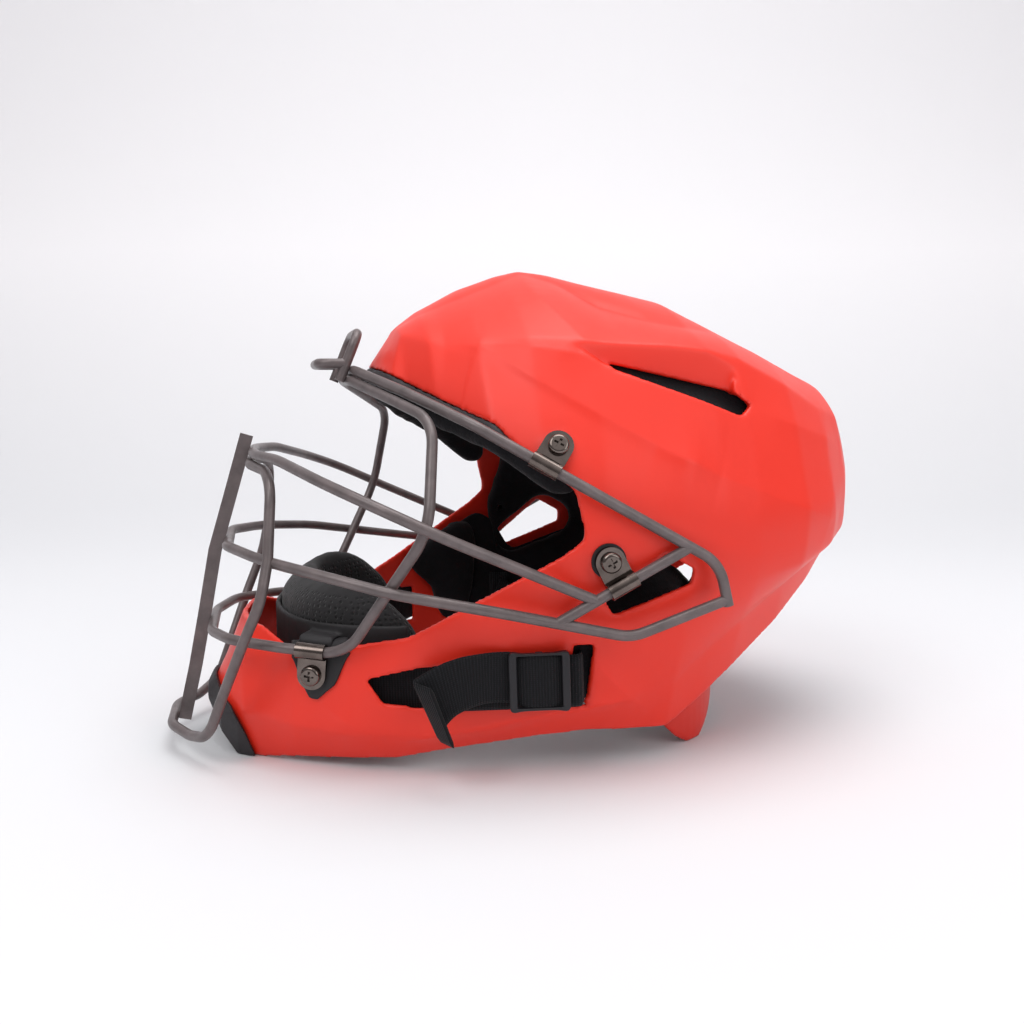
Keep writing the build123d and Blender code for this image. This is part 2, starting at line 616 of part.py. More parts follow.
def make_shell():
    outer = shell_form()
    inner = shell_form(WALL, OVERRUN, 1)
    for pocket in vent_pocket(0):
        outer = outer - pocket
    for pocket in vent_pocket(WALL):
        inner = inner - pocket
    for plane, rubber, nut_depth in clip_planes().values():
        boss = disc_in(screw_plane(plane), BOSS_RADIUS, -rubber - BOSS_DEPTH, BOSS_DEPTH)
        outer = outer + boss + flipped(boss)
    below = Plane.XY * Rectangle(HELMET_LENGTH, 2 * HELMET_LENGTH)
    below = extrude(below, amount=OVERRUN, dir=(0, 0, -1))
    shell = outer - inner - face_opening() - below
    for cut_shares in (EAR_HOLE_SHARES, VENT_SHARES, JAW_SLOT_SHARES, STRAP_SLOT_SHARES):
        shell = shell - through(cut_shares, SLOT_CORNER)
    for plane, rubber, nut_depth in clip_planes().values():
        hole = disc_in(screw_plane(plane), SCREW_DIAMETER / 2 + SCREW_CLEARANCE, -OVERRUN, 2 * OVERRUN)
        room = nut_space(plane, nut_depth, SEAT_MARGIN)
        shell = shell - hole - room - flipped(hole) - flipped(room)
    return max(shell.solids(), key=lambda solid: solid.volume)


def brow_strip():
    return through(BROW_SHARES[:-1] + VISOR_SHARES)


def make_visor():
    blank = shell_form() - shell_form(WALL)
    visor = blank & brow_strip()
    return max(visor.solids(), key=lambda solid: solid.volume)


def make_bumper():
    cap = shell_form(-BUMPER_THICKNESS) - shell_form()
    return max((cap & through(BUMPER_SHARES)).solids(), key=lambda solid: solid.volume)


# The padded lining

def lining(thickness):
    return shell_form(WALL + SOFT_GAP) - shell_form(WALL + SOFT_GAP + thickness, OVERRUN)


def tapered(face, start, direction, height):
    """A block that is narrower on the side of the head."""
    origin = direction * start
    return extrude(face.moved(Location(origin)), amount=height, dir=direction, taper=-PAD_TAPER)


def nut_rooms():
    rooms = []
    for plane, rubber, nut_depth in clip_planes().values():
        room = nut_space(plane, nut_depth - NUT_HEIGHT, SOFT_GAP + SEAT_MARGIN)
        rooms += [room, flipped(room)]
    return rooms


def largest(shape):
    return max(shape.solids(), key=lambda solid: solid.volume)


def side_block(point_shares, start_share):
    face = side_outline(point_shares, PAD_CORNER)
    return tapered(face, start_share * SHELL_HALF_WIDTH, Vector(1, 0, 0), SHELL_HALF_WIDTH)


def make_pads():
    slab = lining(PAD_THICKNESS)
    thick_slab = lining(FOREHEAD_THICKNESS)
    rooms = nut_rooms()
    forehead = thick_slab & through(FOREHEAD_SHARES, PAD_CORNER)
    for room in rooms:
        forehead = forehead - room
    for across in CHANNEL_SHARES:
        x = across * SHELL_HALF_WIDTH
        groove = Plane(origin=(x, 0, 0)) * Rectangle(CHANNEL_WIDTH, HELMET_LENGTH)
        groove = extrude(groove, amount=CROWN_HEIGHT, dir=(0, 0, 1))
        keep = shell_form(WALL + SOFT_GAP + FOREHEAD_THICKNESS - CHANNEL_DEPTH)
        forehead = forehead - (groove & keep)
    blocks = side_block(SIDE_PAD_SHARES, SIDE_START_SHARE) + side_block(SIDE_TOP_SHARES, SIDE_TOP_START_SHARE)
    side = slab & blocks
    side = side - offset_side(EAR_HOLE_SHARES, EAR_MARGIN)
    side = side - (offset_side(VENT_SHARES, VENT_MARGIN) & lining(VENT_GROOVE_DEPTH))
    side = side - vent_pocket(WALL + SOFT_GAP)[0]
    jaw = slab & side_block(JAW_PAD_SHARES, JAW_START_SHARE)
    for room in rooms:
        side = side - room
        jaw = jaw - room
    crown_face = RectangleRounded(2 * CROWN_PAD_SHARE * SHELL_HALF_WIDTH, CROWN_PAD_LENGTH, PAD_CORNER)
    crown_face = crown_face.face().moved(Location((0, CROWN_PAD_MIDDLE, 0)))
    crown = slab & extrude(crown_face, amount=2 * CROWN_HEIGHT, dir=(0, 0, 1))
    crown = largest(crown & Pos(0, 0, CROWN_HEIGHT) * Box(HELMET_LENGTH, HELMET_LENGTH, CROWN_HEIGHT))
    rear_face = side_outline(REAR_PAD_SHARES, PAD_CORNER)
    rear_reach = REAR_PAD_SHARE * SHELL_HALF_WIDTH
    rear = slab & extrude(rear_face, amount=rear_reach, dir=(1, 0, 0), both=True)
    return {"forehead_pad": largest(forehead), "crown_pad": crown, "rear_pad": largest(rear)}, {
        "side_pad": largest(side), "jaw_pad": largest(jaw)}


# The chin cup and its cushion

def cushion_line():
    return [place(across, along, 0) for across, along, low, high in CUSHION_SHARES]


def cushion_section(index, grow, size_share=1):
    """A rounded section square to the cushion's line."""
    line = cushion_line()
    before = line[max(index - 1, 0)]
    after = line[index + 1] if index + 1 < len(line) else flip(line[index - 1])
    run = (after - before).normalized()
    low = CUSHION_SHARES[index][2] * CROWN_HEIGHT - grow
    high = CUSHION_SHARES[index][3] * CROWN_HEIGHT + grow
    middle = (low + high) / 2
    origin = Vector(line[index].X, line[index].Y, middle)
    plane = Plane(origin=origin, x_dir=run.cross(Vector(0, 0, 1)), z_dir=run)
    width = (CUSHION_THICKNESS + 2 * grow) * size_share
    height = (high - low) * size_share
    return plane * RectangleRounded(width, height, CUSHION_ROUND_SHARE * min(width, height)).face()


def make_cushion(grow):
    left = [cushion_section(index, grow) for index in range(len(CUSHION_SHARES))]
    line = cushion_line()
    cap = (line[0] - line[1]).normalized() * (CUSHION_CAP + grow)
    left = [cushion_section(0, grow, CUSHION_END_SHARE).moved(Location(cap))] + left
    right = [flipped(face).face() for face in reversed(left[:-1])]
    return Solid.make_loft([face.outer_wire() for face in left] + [face.outer_wire() for face in right])


def cup_line(reach):
    """A curve in plan, at a reach outside the cushion's line."""
    line = cushion_line()
    points = line + [flip(point) for point in reversed(line[:-1])]
    moved = []
    for index, point in enumerate(points):
        before = points[max(index - 1, 0)]
        after = points[min(index + 1, len(points) - 1)]
        run = (after - before).normalized()
        moved.append(point + Vector(-run.Y, run.X) * reach)
    return Spline(*moved)


def make_cup(shell):
    inner_reach = CUSHION_THICKNESS / 2 + SOFT_GAP
    line = cup_line(inner_reach + CUP_WALL / 2)
    wall_face = band([line @ (index / CUP_STEPS) for index in range(CUP_STEPS + 1)], CUP_WALL)
    bottom = CUP_BOTTOM_SHARE * CROWN_HEIGHT
    top = CUP_TOP_SHARE * CROWN_HEIGHT
    wall = extrude(wall_face.moved(Location((0, 0, bottom))), amount=top - bottom, dir=(0, 0, 1))
    floor_line = cup_line(0)
    width = 2 * inner_reach
    floor_face = band([floor_line @ (index / CUP_STEPS) for index in range(CUP_STEPS + 1)], width)
    floor = extrude(floor_face.moved(Location((0, 0, bottom))), amount=CUP_WALL, dir=(0, 0, 1))
    cup = wall + floor
    plane, rubber, nut_depth = clip_planes()["jaw"]
    tab = make_tab(plane)
    return largest(cup + tab + flipped(tab) - make_cushion(SOFT_GAP) - shell)


def make_tab(plane):
    """The rubber tab from the cup over the jaw's edge and down under the clip."""
    side_plane = Plane(origin=plane.origin, x_dir=plane.x_dir, z_dir=plane.x_dir.cross(plane.z_dir))
    half = TAB_THICKNESS / 2
    tip = SCREW_REACH + CLIP_WIDTH / 2 + TAB_MARGIN
    turn = TAB_TURN - half
    inner = turn - TAB_THICKNESS
    route = [Vector(tip, -half), Vector(turn, -half)]
    route += [Vector(inner, inner - turn - half), Vector(inner, -TAB_INWARD)]
    width = CLIP_WIDTH + 2 * TAB_MARGIN
    tab = ribbon(side_plane, route, TAB_THICKNESS, width)
    outline = SlotCenterToCenter(2 * SCREW_REACH, width)
    tab = tab & solid_in(plane, outline.face(), -OVERRUN - TAB_INWARD, 2 * OVERRUN + TAB_INWARD)
    seat = screw_plane(plane)
    return tab - disc_in(seat, SCREW_DIAMETER / 2 + SCREW_CLEARANCE, -OVERRUN, 2 * OVERRUN)


# The straps

def strap_plane():
    tilt = radians(STRAP_TILT)
    origin = place(0, STRAP_ORIGIN_SHARES[0], STRAP_ORIGIN_SHARES[1])
    return Plane(origin=origin, x_dir=(1, 0, 0), z_dir=(0, -sin(tilt), cos(tilt)))


def strap_points():
    return [Vector(across * SHELL_HALF_WIDTH, along * HELMET_LENGTH) for across, along in STRAP_SHARES]


def make_strap():
    return ribbon(strap_plane(), strap_points(), STRAP_THICKNESS, STRAP_WIDTH)


def slider_plane():
    """The plane of the slider: X along the strap to the rear, Y up, Z off the shell."""
    plane = strap_plane()
    points = [plane.from_local_coords(point) for point in strap_points()]
    front, rear = points[2], points[3]
    run = (rear - front).normalized()
    return Plane(origin=between(front, rear, SLIDER_SHARE), x_dir=run, z_dir=run.cross(plane.z_dir))


def frame_start():
    return 1.5 * STRAP_THICKNESS + LAYER_GAP


def make_slider():
    plane = slider_plane()
    start = frame_start() + LAYER_GAP
    outline = RectangleRounded(SLIDER_LENGTH, SLIDER_HEIGHT, SLIDER_CORNER).face()
    slider = solid_in(plane, outline, start, SLIDER_THICKNESS)
    rail = (SLIDER_HEIGHT - STRAP_WIDTH) / 2 - RUN_CLEARANCE
    for side in (1, -1):
        rail_spot = Location((0, side * (SLIDER_HEIGHT - rail) / 2, 0))
        rail_face = Rectangle(SLIDER_LENGTH - 2 * SLIDER_CORNER, rail).face().moved(rail_spot)
        slider = slider + solid_in(plane, rail_face, -STRAP_THICKNESS / 2, STRAP_THICKNESS / 2 + start)
        window = (SLIDER_LENGTH - 3 * SLIDER_BAR) / 2
        middle = side * (SLIDER_BAR + window) / 2
        hole = Rectangle(window, STRAP_WIDTH + 2 * RUN_CLEARANCE).face().moved(Location((middle, 0, 0)))
        slider = slider - solid_in(plane, hole, 0, OVERRUN)
    low = Rectangle(SLIDER_BAR + window, STRAP_WIDTH + 2 * RUN_CLEARANCE).face()
    return slider - solid_in(plane, low, start + CENTRE_BAR_HEIGHT, OVERRUN)


def make_tail():
    """The loose end of the webbing: through the slider, then drooping forward to a hem."""
    plane = slider_plane()
    side_plane = Plane(origin=plane.origin, x_dir=plane.x_dir, z_dir=plane.x_dir.cross(plane.z_dir))
    under = STRAP_THICKNESS + LAYER_GAP
    over = frame_start() + LAYER_GAP + CENTRE_BAR_HEIGHT + LAYER_GAP + STRAP_THICKNESS / 2
    window = (SLIDER_LENGTH - 3 * SLIDER_BAR) / 2
    near = SLIDER_BAR / 2 + THREAD_MARGIN
    far = SLIDER_BAR / 2 + window - THREAD_MARGIN
    reach = SLIDER_LENGTH / 2 + THREAD_MARGIN
    route = [Vector(reach, under), Vector(far, under), Vector(near, over)]
    route += [Vector(-near, over), Vector(-far, under), Vector(-reach, under)]
    tail = ribbon(side_plane, route, STRAP_THICKNESS, STRAP_WIDTH)
    start = STRAP_THICKNESS / 2 + LAYER_GAP
    droop = Location((-SLIDER_LENGTH / 2, 0, 0), (0, 0, TAIL_DROOP))
    end = THREAD_MARGIN - TAIL_LENGTH
    strip = droop * Pos(end + TAIL_LENGTH / 2, 0) * Rectangle(TAIL_LENGTH, STRAP_WIDTH)
    hem = droop * Pos(end + HEM_LENGTH / 2, 0) * Rectangle(HEM_LENGTH, STRAP_WIDTH)
    fold = droop * Pos(end + STRAP_THICKNESS / 2, 0) * Rectangle(STRAP_THICKNESS, STRAP_WIDTH)
    tail = tail + solid_in(plane, strip.face(), start, STRAP_THICKNESS)
    tail = tail + solid_in(plane, hem.face(), start + STRAP_THICKNESS + LAYER_GAP, STRAP_THICKNESS)
    return tail + solid_in(plane, fold.face(), start, 2 * STRAP_THICKNESS + LAYER_GAP)


# The back plate

def plate_band(inner_reach, thickness):
    """The plan of a layer of the back plate, at a reach inside its outer face."""
    points = [place(across, along, 0) for across, along in PLATE_SHARES]
    whole = [flip(point) for point in points] + list(reversed(points))[1:]
    curve = Spline(*whole)
    steps = [curve @ (index / PLATE_STEPS) for index in range(PLATE_STEPS + 1)]
    moved = []
    for index, point in enumerate(steps):
        run = (steps[min(index + 1, PLATE_STEPS)] - steps[max(index - 1, 0)]).normalized()
        moved.append(point + Vector(run.Y, -run.X) * (inner_reach + thickness / 2))
    return band(moved, thickness)


def make_plate():
    tall = extrude(plate_band(0, PLATE_THICKNESS), amount=CROWN_HEIGHT, dir=(0, 0, 1))
    return largest(tall & through(PLATE_SIDE_SHARES))


def make_plate_pad():
    start = PLATE_THICKNESS + SOFT_GAP
    tall = extrude(plate_band(start, PLATE_PAD_THICKNESS), amount=CROWN_HEIGHT, dir=(0, 0, 1))
    return largest(tall & through(PLATE_PAD_SHARES, SLOT_CORNER))


def rivet_seats():
    """The planes of the rivets on the back plate's outer face: left, right and top centre."""
    first, second = [place(across, along, RIVET_UP_SHARE) for across, along in PLATE_SHARES[:2]]
    run = (second - first).normalized()
    outward = Vector(run.Y, -run.X)
    left = Plane(origin=between(first, second, RIVET_SHARE), x_dir=run, z_dir=outward)
    right_outward = flip(outward)
    right = Plane(origin=flip(left.origin), x_dir=flip(run), z_dir=right_outward)
    top = Plane(origin=place(0, PLATE_SHARES[-1][1], TOP_RIVET_SHARE), x_dir=(1, 0, 0), z_dir=(0, 1, 0))
    return left, right, top


def rivet_shank(seat, start, height):
    return disc_in(seat, RIVET_SHANK_RADIUS, start, height)


def make_rivets(plate, straps):
    left, right, top = rivet_seats()
    depth = PLATE_THICKNESS + STRAP_THICKNESS
    rivets = []
    for seat, start in ((left, 0), (right, 0), (top, STRAP_THICKNESS)):
        head = disc_in(seat, RIVET_RADIUS, start, RIVET_HEIGHT)
        rim = [edge for edge in head.edges().filter_by(GeomType.CIRCLE)
               if (edge.center() - seat.origin).dot(seat.z_dir) > start + RIVET_HEIGHT / 2]
        head = fillet(rim, RIVET_HEIGHT * RIVET_ROUND_SHARE)
        rivet = head + rivet_shank(seat, start - depth, depth)
        for other in [plate] + straps:
            rivet = rivet - other
        rivets.append(largest(rivet))
    return Compound(rivets)


def make_rear_strap():
    """Elastic webbing from the end of the left jaw strap to the back plate."""
    points = [place(*shares) for shares in REAR_STRAP_SHARES]
    run = (points[1] - points[0]).normalized()
    sideways = run.cross(Vector(0, 0, 1)).normalized()
    plane = Plane(origin=points[0], x_dir=run, z_dir=sideways.cross(run))
    flat = [plane.to_local_coords(point) for point in points]
    route = [Vector(point.X, point.Y) for point in flat]
    return ribbon(plane, route, STRAP_THICKNESS, REAR_STRAP_WIDTH)


def make_centre_strap():
    """Elastic webbing from the top of the back plate to the rear of the shell."""
    points = [place(0, along, up) for along, up in CENTRE_STRAP_SHARES]
    route = [Vector(point.Y, point.Z) for point in points]
    plane = Plane(origin=(0, 0, 0), x_dir=(0, 1, 0), z_dir=(1, 0, 0))
    return ribbon(plane, route, STRAP_THICKNESS, REAR_STRAP_WIDTH)


def write_back_plate(strap):
    plate = make_plate()
    left, right, top = rivet_seats()
    for seat in (left, right, top):
        plate = plate - rivet_shank(seat, -OVERRUN, OVERRUN + RIVET_HEIGHT)
    rear = make_rear_strap() - plate - strap
    rear = largest(rear - rivet_shank(left, -OVERRUN, OVERRUN))
    centre = largest(make_centre_strap() - plate - rivet_shank(top, -OVERRUN, 2 * OVERRUN))
    write("back_plate", plate)
    write("back_plate_pad", make_plate_pad())
    write("back_plate_rivets", make_rivets(plate, [rear, flipped(rear), centre]))
    write_both("rear_strap", rear)
    write("rear_centre_strap", centre)


def write_clips(cage, shell):
    screws = []
    nuts = []
    for name, (plane, rubber, nut_depth) in clip_planes().items():
        clip = make_clip(plane)
        for held in HELD_BARS[name]:
            clip = clip - cage[held]
        write_both(f"{name}_clip", largest(clip))
        screw = make_screw(plane, nut_depth)
        nut = make_nut(plane, nut_depth)
        screws += [screw, flipped(screw)]
        nuts += [nut, flipped(nut)]
    write("clip_screws", Compound([largest(screw) for screw in screws]))
    write("clip_nuts", Compound([largest(nut) for nut in nuts]))
    grommet = make_grommet(clip_planes()["ear"][0]) - shell
    write("ear_grommets", Compound([largest(grommet), largest(flipped(grommet))]))


def write_helmet():
    shell = make_shell()
    write("outer_shell", shell)
    write("brow_visor", make_visor())
    write("chin_bumper", make_bumper())
    cage = fitted(make_cage())
    for name, shape in cage.items():
        write(name, shape)
    write_clips(cage, shell)
    middle_pads, paired_pads = make_pads()
    for name, shape in middle_pads.items():
        write(name, shape)
    for name, shape in paired_pads.items():
        write_both(name, shape)
    write("chin_cup", make_cup(shell))
    write("chin_cushion", make_cushion(0))
    strap = make_strap()
    write_both("strap", strap)
    write_both("strap_slider", make_slider())
    write_both("strap_tail", make_tail())
    write_back_plate(strap)


write_helmet()
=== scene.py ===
import bpy
import bmesh
import math
import numpy as np
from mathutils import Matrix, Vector
from mathutils.bvhtree import BVHTree


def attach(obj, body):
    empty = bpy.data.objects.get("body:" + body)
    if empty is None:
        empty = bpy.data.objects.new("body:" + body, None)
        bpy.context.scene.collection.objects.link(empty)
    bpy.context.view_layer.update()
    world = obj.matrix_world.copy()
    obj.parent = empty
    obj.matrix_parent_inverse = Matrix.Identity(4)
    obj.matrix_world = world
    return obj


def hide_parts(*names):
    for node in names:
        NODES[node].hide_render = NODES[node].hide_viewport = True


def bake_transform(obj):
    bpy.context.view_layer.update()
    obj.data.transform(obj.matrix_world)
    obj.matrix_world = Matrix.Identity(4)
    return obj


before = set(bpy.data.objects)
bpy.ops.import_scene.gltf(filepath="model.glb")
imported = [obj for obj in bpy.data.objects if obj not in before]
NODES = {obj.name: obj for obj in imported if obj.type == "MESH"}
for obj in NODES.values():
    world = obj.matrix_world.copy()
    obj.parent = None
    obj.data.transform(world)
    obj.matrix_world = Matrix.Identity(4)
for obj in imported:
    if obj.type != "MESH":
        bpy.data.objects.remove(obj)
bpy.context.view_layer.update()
SCENE = bpy.context.scene
SIDES = ("left", "right")

# What a share of the helmet across, along and up is in metres
HALF_WIDTH, LENGTH, HEIGHT = 0.1065, 0.346, 0.228
MILLIMETRE = 0.001

# How far the camera is turned towards the face, and tipped down
TURN, PITCH = math.radians(13.64), math.radians(7.26)


# Materials

def new_material(name):
    material = bpy.data.materials.new(name)
    material.use_nodes = True
    tree = material.node_tree
    shader = tree.nodes["Principled BSDF"]
    return material, tree, shader


def add_node(tree, kind, **values):
    node = tree.nodes.new(kind)
    for key, value in values.items():
        setattr(node, key, value)
    return node


def object_place(tree):
    return add_node(tree, "ShaderNodeTexCoord").outputs["Object"]


def ramp(tree, fac, stops):
    node = add_node(tree, "ShaderNodeValToRGB")
    elements = node.color_ramp.elements
    while len(elements) < len(stops):
        elements.new(0.5)
    for element, (place, colour) in zip(elements, stops):
        element.position = place
        element.color = (*colour, 1)
    tree.links.new(fac, node.inputs["Fac"])
    return node.outputs["Color"]


def noise(tree, scale, detail=3.0, roughness=0.5, vector=None):
    node = add_node(tree, "ShaderNodeTexNoise")
    node.inputs["Scale"].default_value = scale
    node.inputs["Detail"].default_value = detail
    node.inputs["Roughness"].default_value = roughness
    source = vector if vector is not None else object_place(tree)
    tree.links.new(source, node.inputs["Vector"])
    return node.outputs["Fac"]


def bump(tree, shader, height, strength, distance, before=None):
    """A bump on the shader. It is laid over the one before, where there is one."""
    node = add_node(tree, "ShaderNodeBump")
    node.inputs["Strength"].default_value = strength
    node.inputs["Distance"].default_value = distance
    tree.links.new(height, node.inputs["Height"])
    if before is not None:
        tree.links.new(before, node.inputs["Normal"])
    tree.links.new(node.outputs["Normal"], shader.inputs["Normal"])
    return node.outputs["Normal"]


def grey(value):
    return (value, value, value)


def map_range(tree, value, low, high):
    node = add_node(tree, "ShaderNodeMapRange")
    node.inputs["To Min"].default_value = low
    node.inputs["To Max"].default_value = high
    tree.links.new(value, node.inputs["Value"])
    return node.outputs["Result"]


def moulded_plastic(name, low, high, rough=(0.36, 0.46), grain=0.25):
    """Matt moulded plastic: a faint cloudiness, a fine spark grain and slow soft waves."""
    material, tree, shader = new_material(name)
    cloud = noise(tree, 9.0, 4.0)
    tree.links.new(ramp(tree, cloud, [(0.3, low), (0.7, high)]), shader.inputs["Base Color"])
    patch = noise(tree, 60.0, 5.0, 0.6)
    tree.links.new(map_range(tree, patch, *rough), shader.inputs["Roughness"])
    shader.inputs["Specular IOR Level"].default_value = 0.42
    fine = noise(tree, 2600.0, 2.0)
    first = bump(tree, shader, fine, grain, 0.00006)
    slow = noise(tree, 34.0, 2.0)
    bump(tree, shader, slow, 0.10, 0.0006, first)
    return material


def satin_paint(name, low, high):
    """Powder coat on wire: fine orange peel over a cloudy colour."""
    material, tree, shader = new_material(name)
    cloud = noise(tree, 130.0, 5.0, 0.62)
    tree.links.new(ramp(tree, cloud, [(0.32, low), (0.66, high)]), shader.inputs["Base Color"])
    patch = noise(tree, 420.0, 3.0)
    tree.links.new(map_range(tree, patch, 0.30, 0.46), shader.inputs["Roughness"])
    shader.inputs["Metallic"].default_value = 0.25
    bump(tree, shader, noise(tree, 1500.0, 3.0), 0.35, 0.00008)
    return material


def plated(name, low, high, rough):
    """Plated metal with fine brushing."""
    material, tree, shader = new_material(name)
    stretch = add_node(tree, "ShaderNodeMapping")
    stretch.inputs["Scale"].default_value = (1.0, 0.08, 1.0)
    tree.links.new(object_place(tree), stretch.inputs["Vector"])
    brushed = noise(tree, 2400.0, 3.0, 0.5, stretch.outputs["Vector"])
    cloud = noise(tree, 160.0, 4.0)
    tree.links.new(ramp(tree, cloud, [(0.25, low), (0.75, high)]), shader.inputs["Base Color"])
    roughness = map_range(tree, cloud, rough * 0.8, rough * 1.4)
    tree.links.new(roughness, shader.inputs["Roughness"])
    shader.inputs["Metallic"].default_value = 1.0
    bump(tree, shader, brushed, 0.12, 0.00003)
    return material


def rubber(name, low, high, rough=0.62):
    """Soft moulded rubber: cloudy, with a fine grain."""
    material, tree, shader = new_material(name)
    cloud = noise(tree, 40.0, 4.0)
    tree.links.new(ramp(tree, cloud, [(0.3, low), (0.7, high)]), shader.inputs["Base Color"])
    patch = noise(tree, 210.0, 4.0)
    roughness = map_range(tree, patch, rough - 0.08, rough + 0.10)
    tree.links.new(roughness, shader.inputs["Roughness"])
    shader.inputs["Specular IOR Level"].default_value = 0.4
    bump(tree, shader, noise(tree, 1900.0, 2.0), 0.35, 0.0001)
    return material


def brushed_fabric(name, low, high):
    """Soft knitted lining: small loops with a short nap."""
    material, tree, shader = new_material(name)
    place = object_place(tree)
    cloud = noise(tree, 28.0, 4.0, 0.6, place)
    tree.links.new(ramp(tree, cloud, [(0.28, low), (0.72, high)]), shader.inputs["Base Color"])
    shader.inputs["Roughness"].default_value = 0.93
    shader.inputs["Specular IOR Level"].default_value = 0.2
    shader.inputs["Sheen Weight"].default_value = 0.10
    shader.inputs["Sheen Roughness"].default_value = 0.5
    loops = add_node(tree, "ShaderNodeTexVoronoi", feature="F1")
    loops.inputs["Scale"].default_value = 760.0
    tree.links.new(place, loops.inputs["Vector"])
    first = bump(tree, shader, loops.outputs["Distance"], 0.5, 0.0004)
    bump(tree, shader, noise(tree, 140.0, 4.0, 0.6, place), 0.25, 0.0008, first)
    return material


def mesh_fabric(name, low, high, panel_top, plain_from):
    """Spacer mesh over foam: a net of small round holes up to the panel's top, and plain above.
    The holes are painted darker, as painted shade inside them.
    """
    material, tree, shader = new_material(name)
    place = object_place(tree)
    cells = add_node(tree, "ShaderNodeTexVoronoi", feature="F1")
    cells.inputs["Scale"].default_value = 430.0
    cells.inputs["Randomness"].default_value = 0.35
    tree.links.new(place, cells.inputs["Vector"])
    net = ramp(tree, cells.outputs["Distance"], [(0.22, grey(0.0)), (0.42, grey(1.0))])
    split = add_node(tree, "ShaderNodeSeparateXYZ")
    tree.links.new(place, split.inputs["Vector"])
    panel = add_node(tree, "ShaderNodeMapRange")
    panel.inputs["From Min"].default_value = panel_top
    panel.inputs["From Max"].default_value = plain_from
    tree.links.new(split.outputs["Z"], panel.inputs["Value"])
    plain = add_node(tree, "ShaderNodeMath", operation="MAXIMUM")
    tree.links.new(net, plain.inputs[0])
    tree.links.new(panel.outputs["Result"], plain.inputs[1])
    holes = plain.outputs[0]
    # Painted shade: the holes take the darker colour, for the shade inside them
    mixer = add_node(tree, "ShaderNodeMix", data_type="RGBA")
    mixer.inputs[6].default_value = (*low, 1)
    mixer.inputs[7].default_value = (*high, 1)
    tree.links.new(holes, mixer.inputs[0])
    tree.links.new(mixer.outputs[2], shader.inputs["Base Color"])
    shader.inputs["Roughness"].default_value = 0.88
    shader.inputs["Sheen Weight"].default_value = 0.12
    first = bump(tree, shader, holes, 0.9, 0.0006)
    bump(tree, shader, noise(tree, 110.0, 3.0, 0.6, place), 0.2, 0.0008, first)
    return material


def webbing(name, low, high, rib=1.25, yarn=0.9):
    """Woven webbing, ribbed across, from the ribbon's own UV map in millimetres. Its colour is
    darker in the weave's hollows and paler on its crests: painted shade and highlight.
    """
    material, tree, shader = new_material(name)
    uv = add_node(tree, "ShaderNodeUVMap", uv_map="weave")
    split = add_node(tree, "ShaderNodeSeparateXYZ")
    tree.links.new(uv.outputs["UV"], split.inputs["Vector"])

    def wave(source, length):
        times = add_node(tree, "ShaderNodeMath", operation="MULTIPLY")
        times.inputs[1].default_value = math.tau / length
        tree.links.new(source, times.inputs[0])
        sine = add_node(tree, "ShaderNodeMath", operation="SINE")
        tree.links.new(times.outputs[0], sine.inputs[0])
        return sine.outputs[0]

    ribs = wave(split.outputs["Y"], rib)
    yarns = wave(split.outputs["X"], yarn)
    both = add_node(tree, "ShaderNodeMath", operation="MULTIPLY_ADD")
    both.inputs[1].default_value = 0.45
    tree.links.new(yarns, both.inputs[0])
    tree.links.new(ribs, both.inputs[2])
    height = map_range(tree, both.outputs[0], 0.0, 1.0)
    # Painted shade and highlight: the colour follows the weave's height, darker in its hollows and
    # paler on its crests
    tree.links.new(ramp(tree, height, [(0.1, low), (0.9, high)]), shader.inputs["Base Color"])
    shader.inputs["Roughness"].default_value = 0.82
    shader.inputs["Sheen Weight"].default_value = 0.06
    shader.inputs["Specular IOR Level"].default_value = 0.25
    first = bump(tree, shader, height, 0.8, 0.00035)
    bump(tree, shader, noise(tree, 900.0, 3.0), 0.3, 0.0002, first)
    return material


RED = moulded_plastic("red_shell", (0.80, 0.026, 0.010), (0.85, 0.031, 0.013))
PLATE_RED = moulded_plastic("red_plate", (0.70, 0.024, 0.012), (0.78, 0.030, 0.016))
PAINT = satin_paint("cage_powder_coat", (0.108, 0.089, 0.088), (0.155, 0.125, 0.124))
CLIP = plated("dark_nickel", (0.100, 0.080, 0.071), (0.190, 0.156, 0.140), 0.16)
SCREW = plated("dark_nickel_screw", (0.110, 0.090, 0.080), (0.200, 0.168, 0.150), 0.12)
STEEL = plated("zinc_steel", (0.46, 0.46, 0.47), (0.62, 0.62, 0.63), 0.30)
BLACK_RUBBER = rubber("black_rubber", (0.013, 0.012, 0.013), (0.021, 0.019, 0.021))
TRIM = rubber("black_trim", (0.016, 0.013, 0.015), (0.026, 0.022, 0.025), 0.55)
LINING = brushed_fabric("lining_fabric", (0.005, 0.005, 0.006), (0.011, 0.010, 0.012))
CUSHION = mesh_fabric("cushion_mesh", (0.002, 0.002, 0.002), (0.010, 0.009, 0.010),
                      0.0765, 0.0780)
WEB = webbing("black_webbing", (0.003, 0.003, 0.004), (0.009, 0.009, 0.012))
BLACK_PLASTIC = moulded_plastic("black_slider", (0.007, 0.006, 0.008), (0.011, 0.010, 0.013),
                                (0.34, 0.46), 0.3)
RIVET = satin_paint("black_rivet", (0.018, 0.018, 0.020), (0.032, 0.031, 0.033))


# Mesh helpers

def link(obj):
    SCENE.collection.objects.link(obj)
    return obj


def set_material(obj, material):
    obj.data.materials.clear()
    obj.data.materials.append(material)
    for polygon in obj.data.polygons:
        polygon.use_smooth = True


def coordinates(mesh):
    co = np.empty(len(mesh.vertices) * 3, np.float64)
    mesh.vertices.foreach_get("co", co)
    return co.reshape(-1, 3)


def set_coordinates(mesh, co):
    mesh.vertices.foreach_set("co", co.astype(np.float32).ravel())
    mesh.update()


def vertex_normals(mesh):
    n = np.empty(len(mesh.vertices) * 3, np.float64)
    mesh.vertex_normals.foreach_get("vector", n)
    return n.reshape(-1, 3)


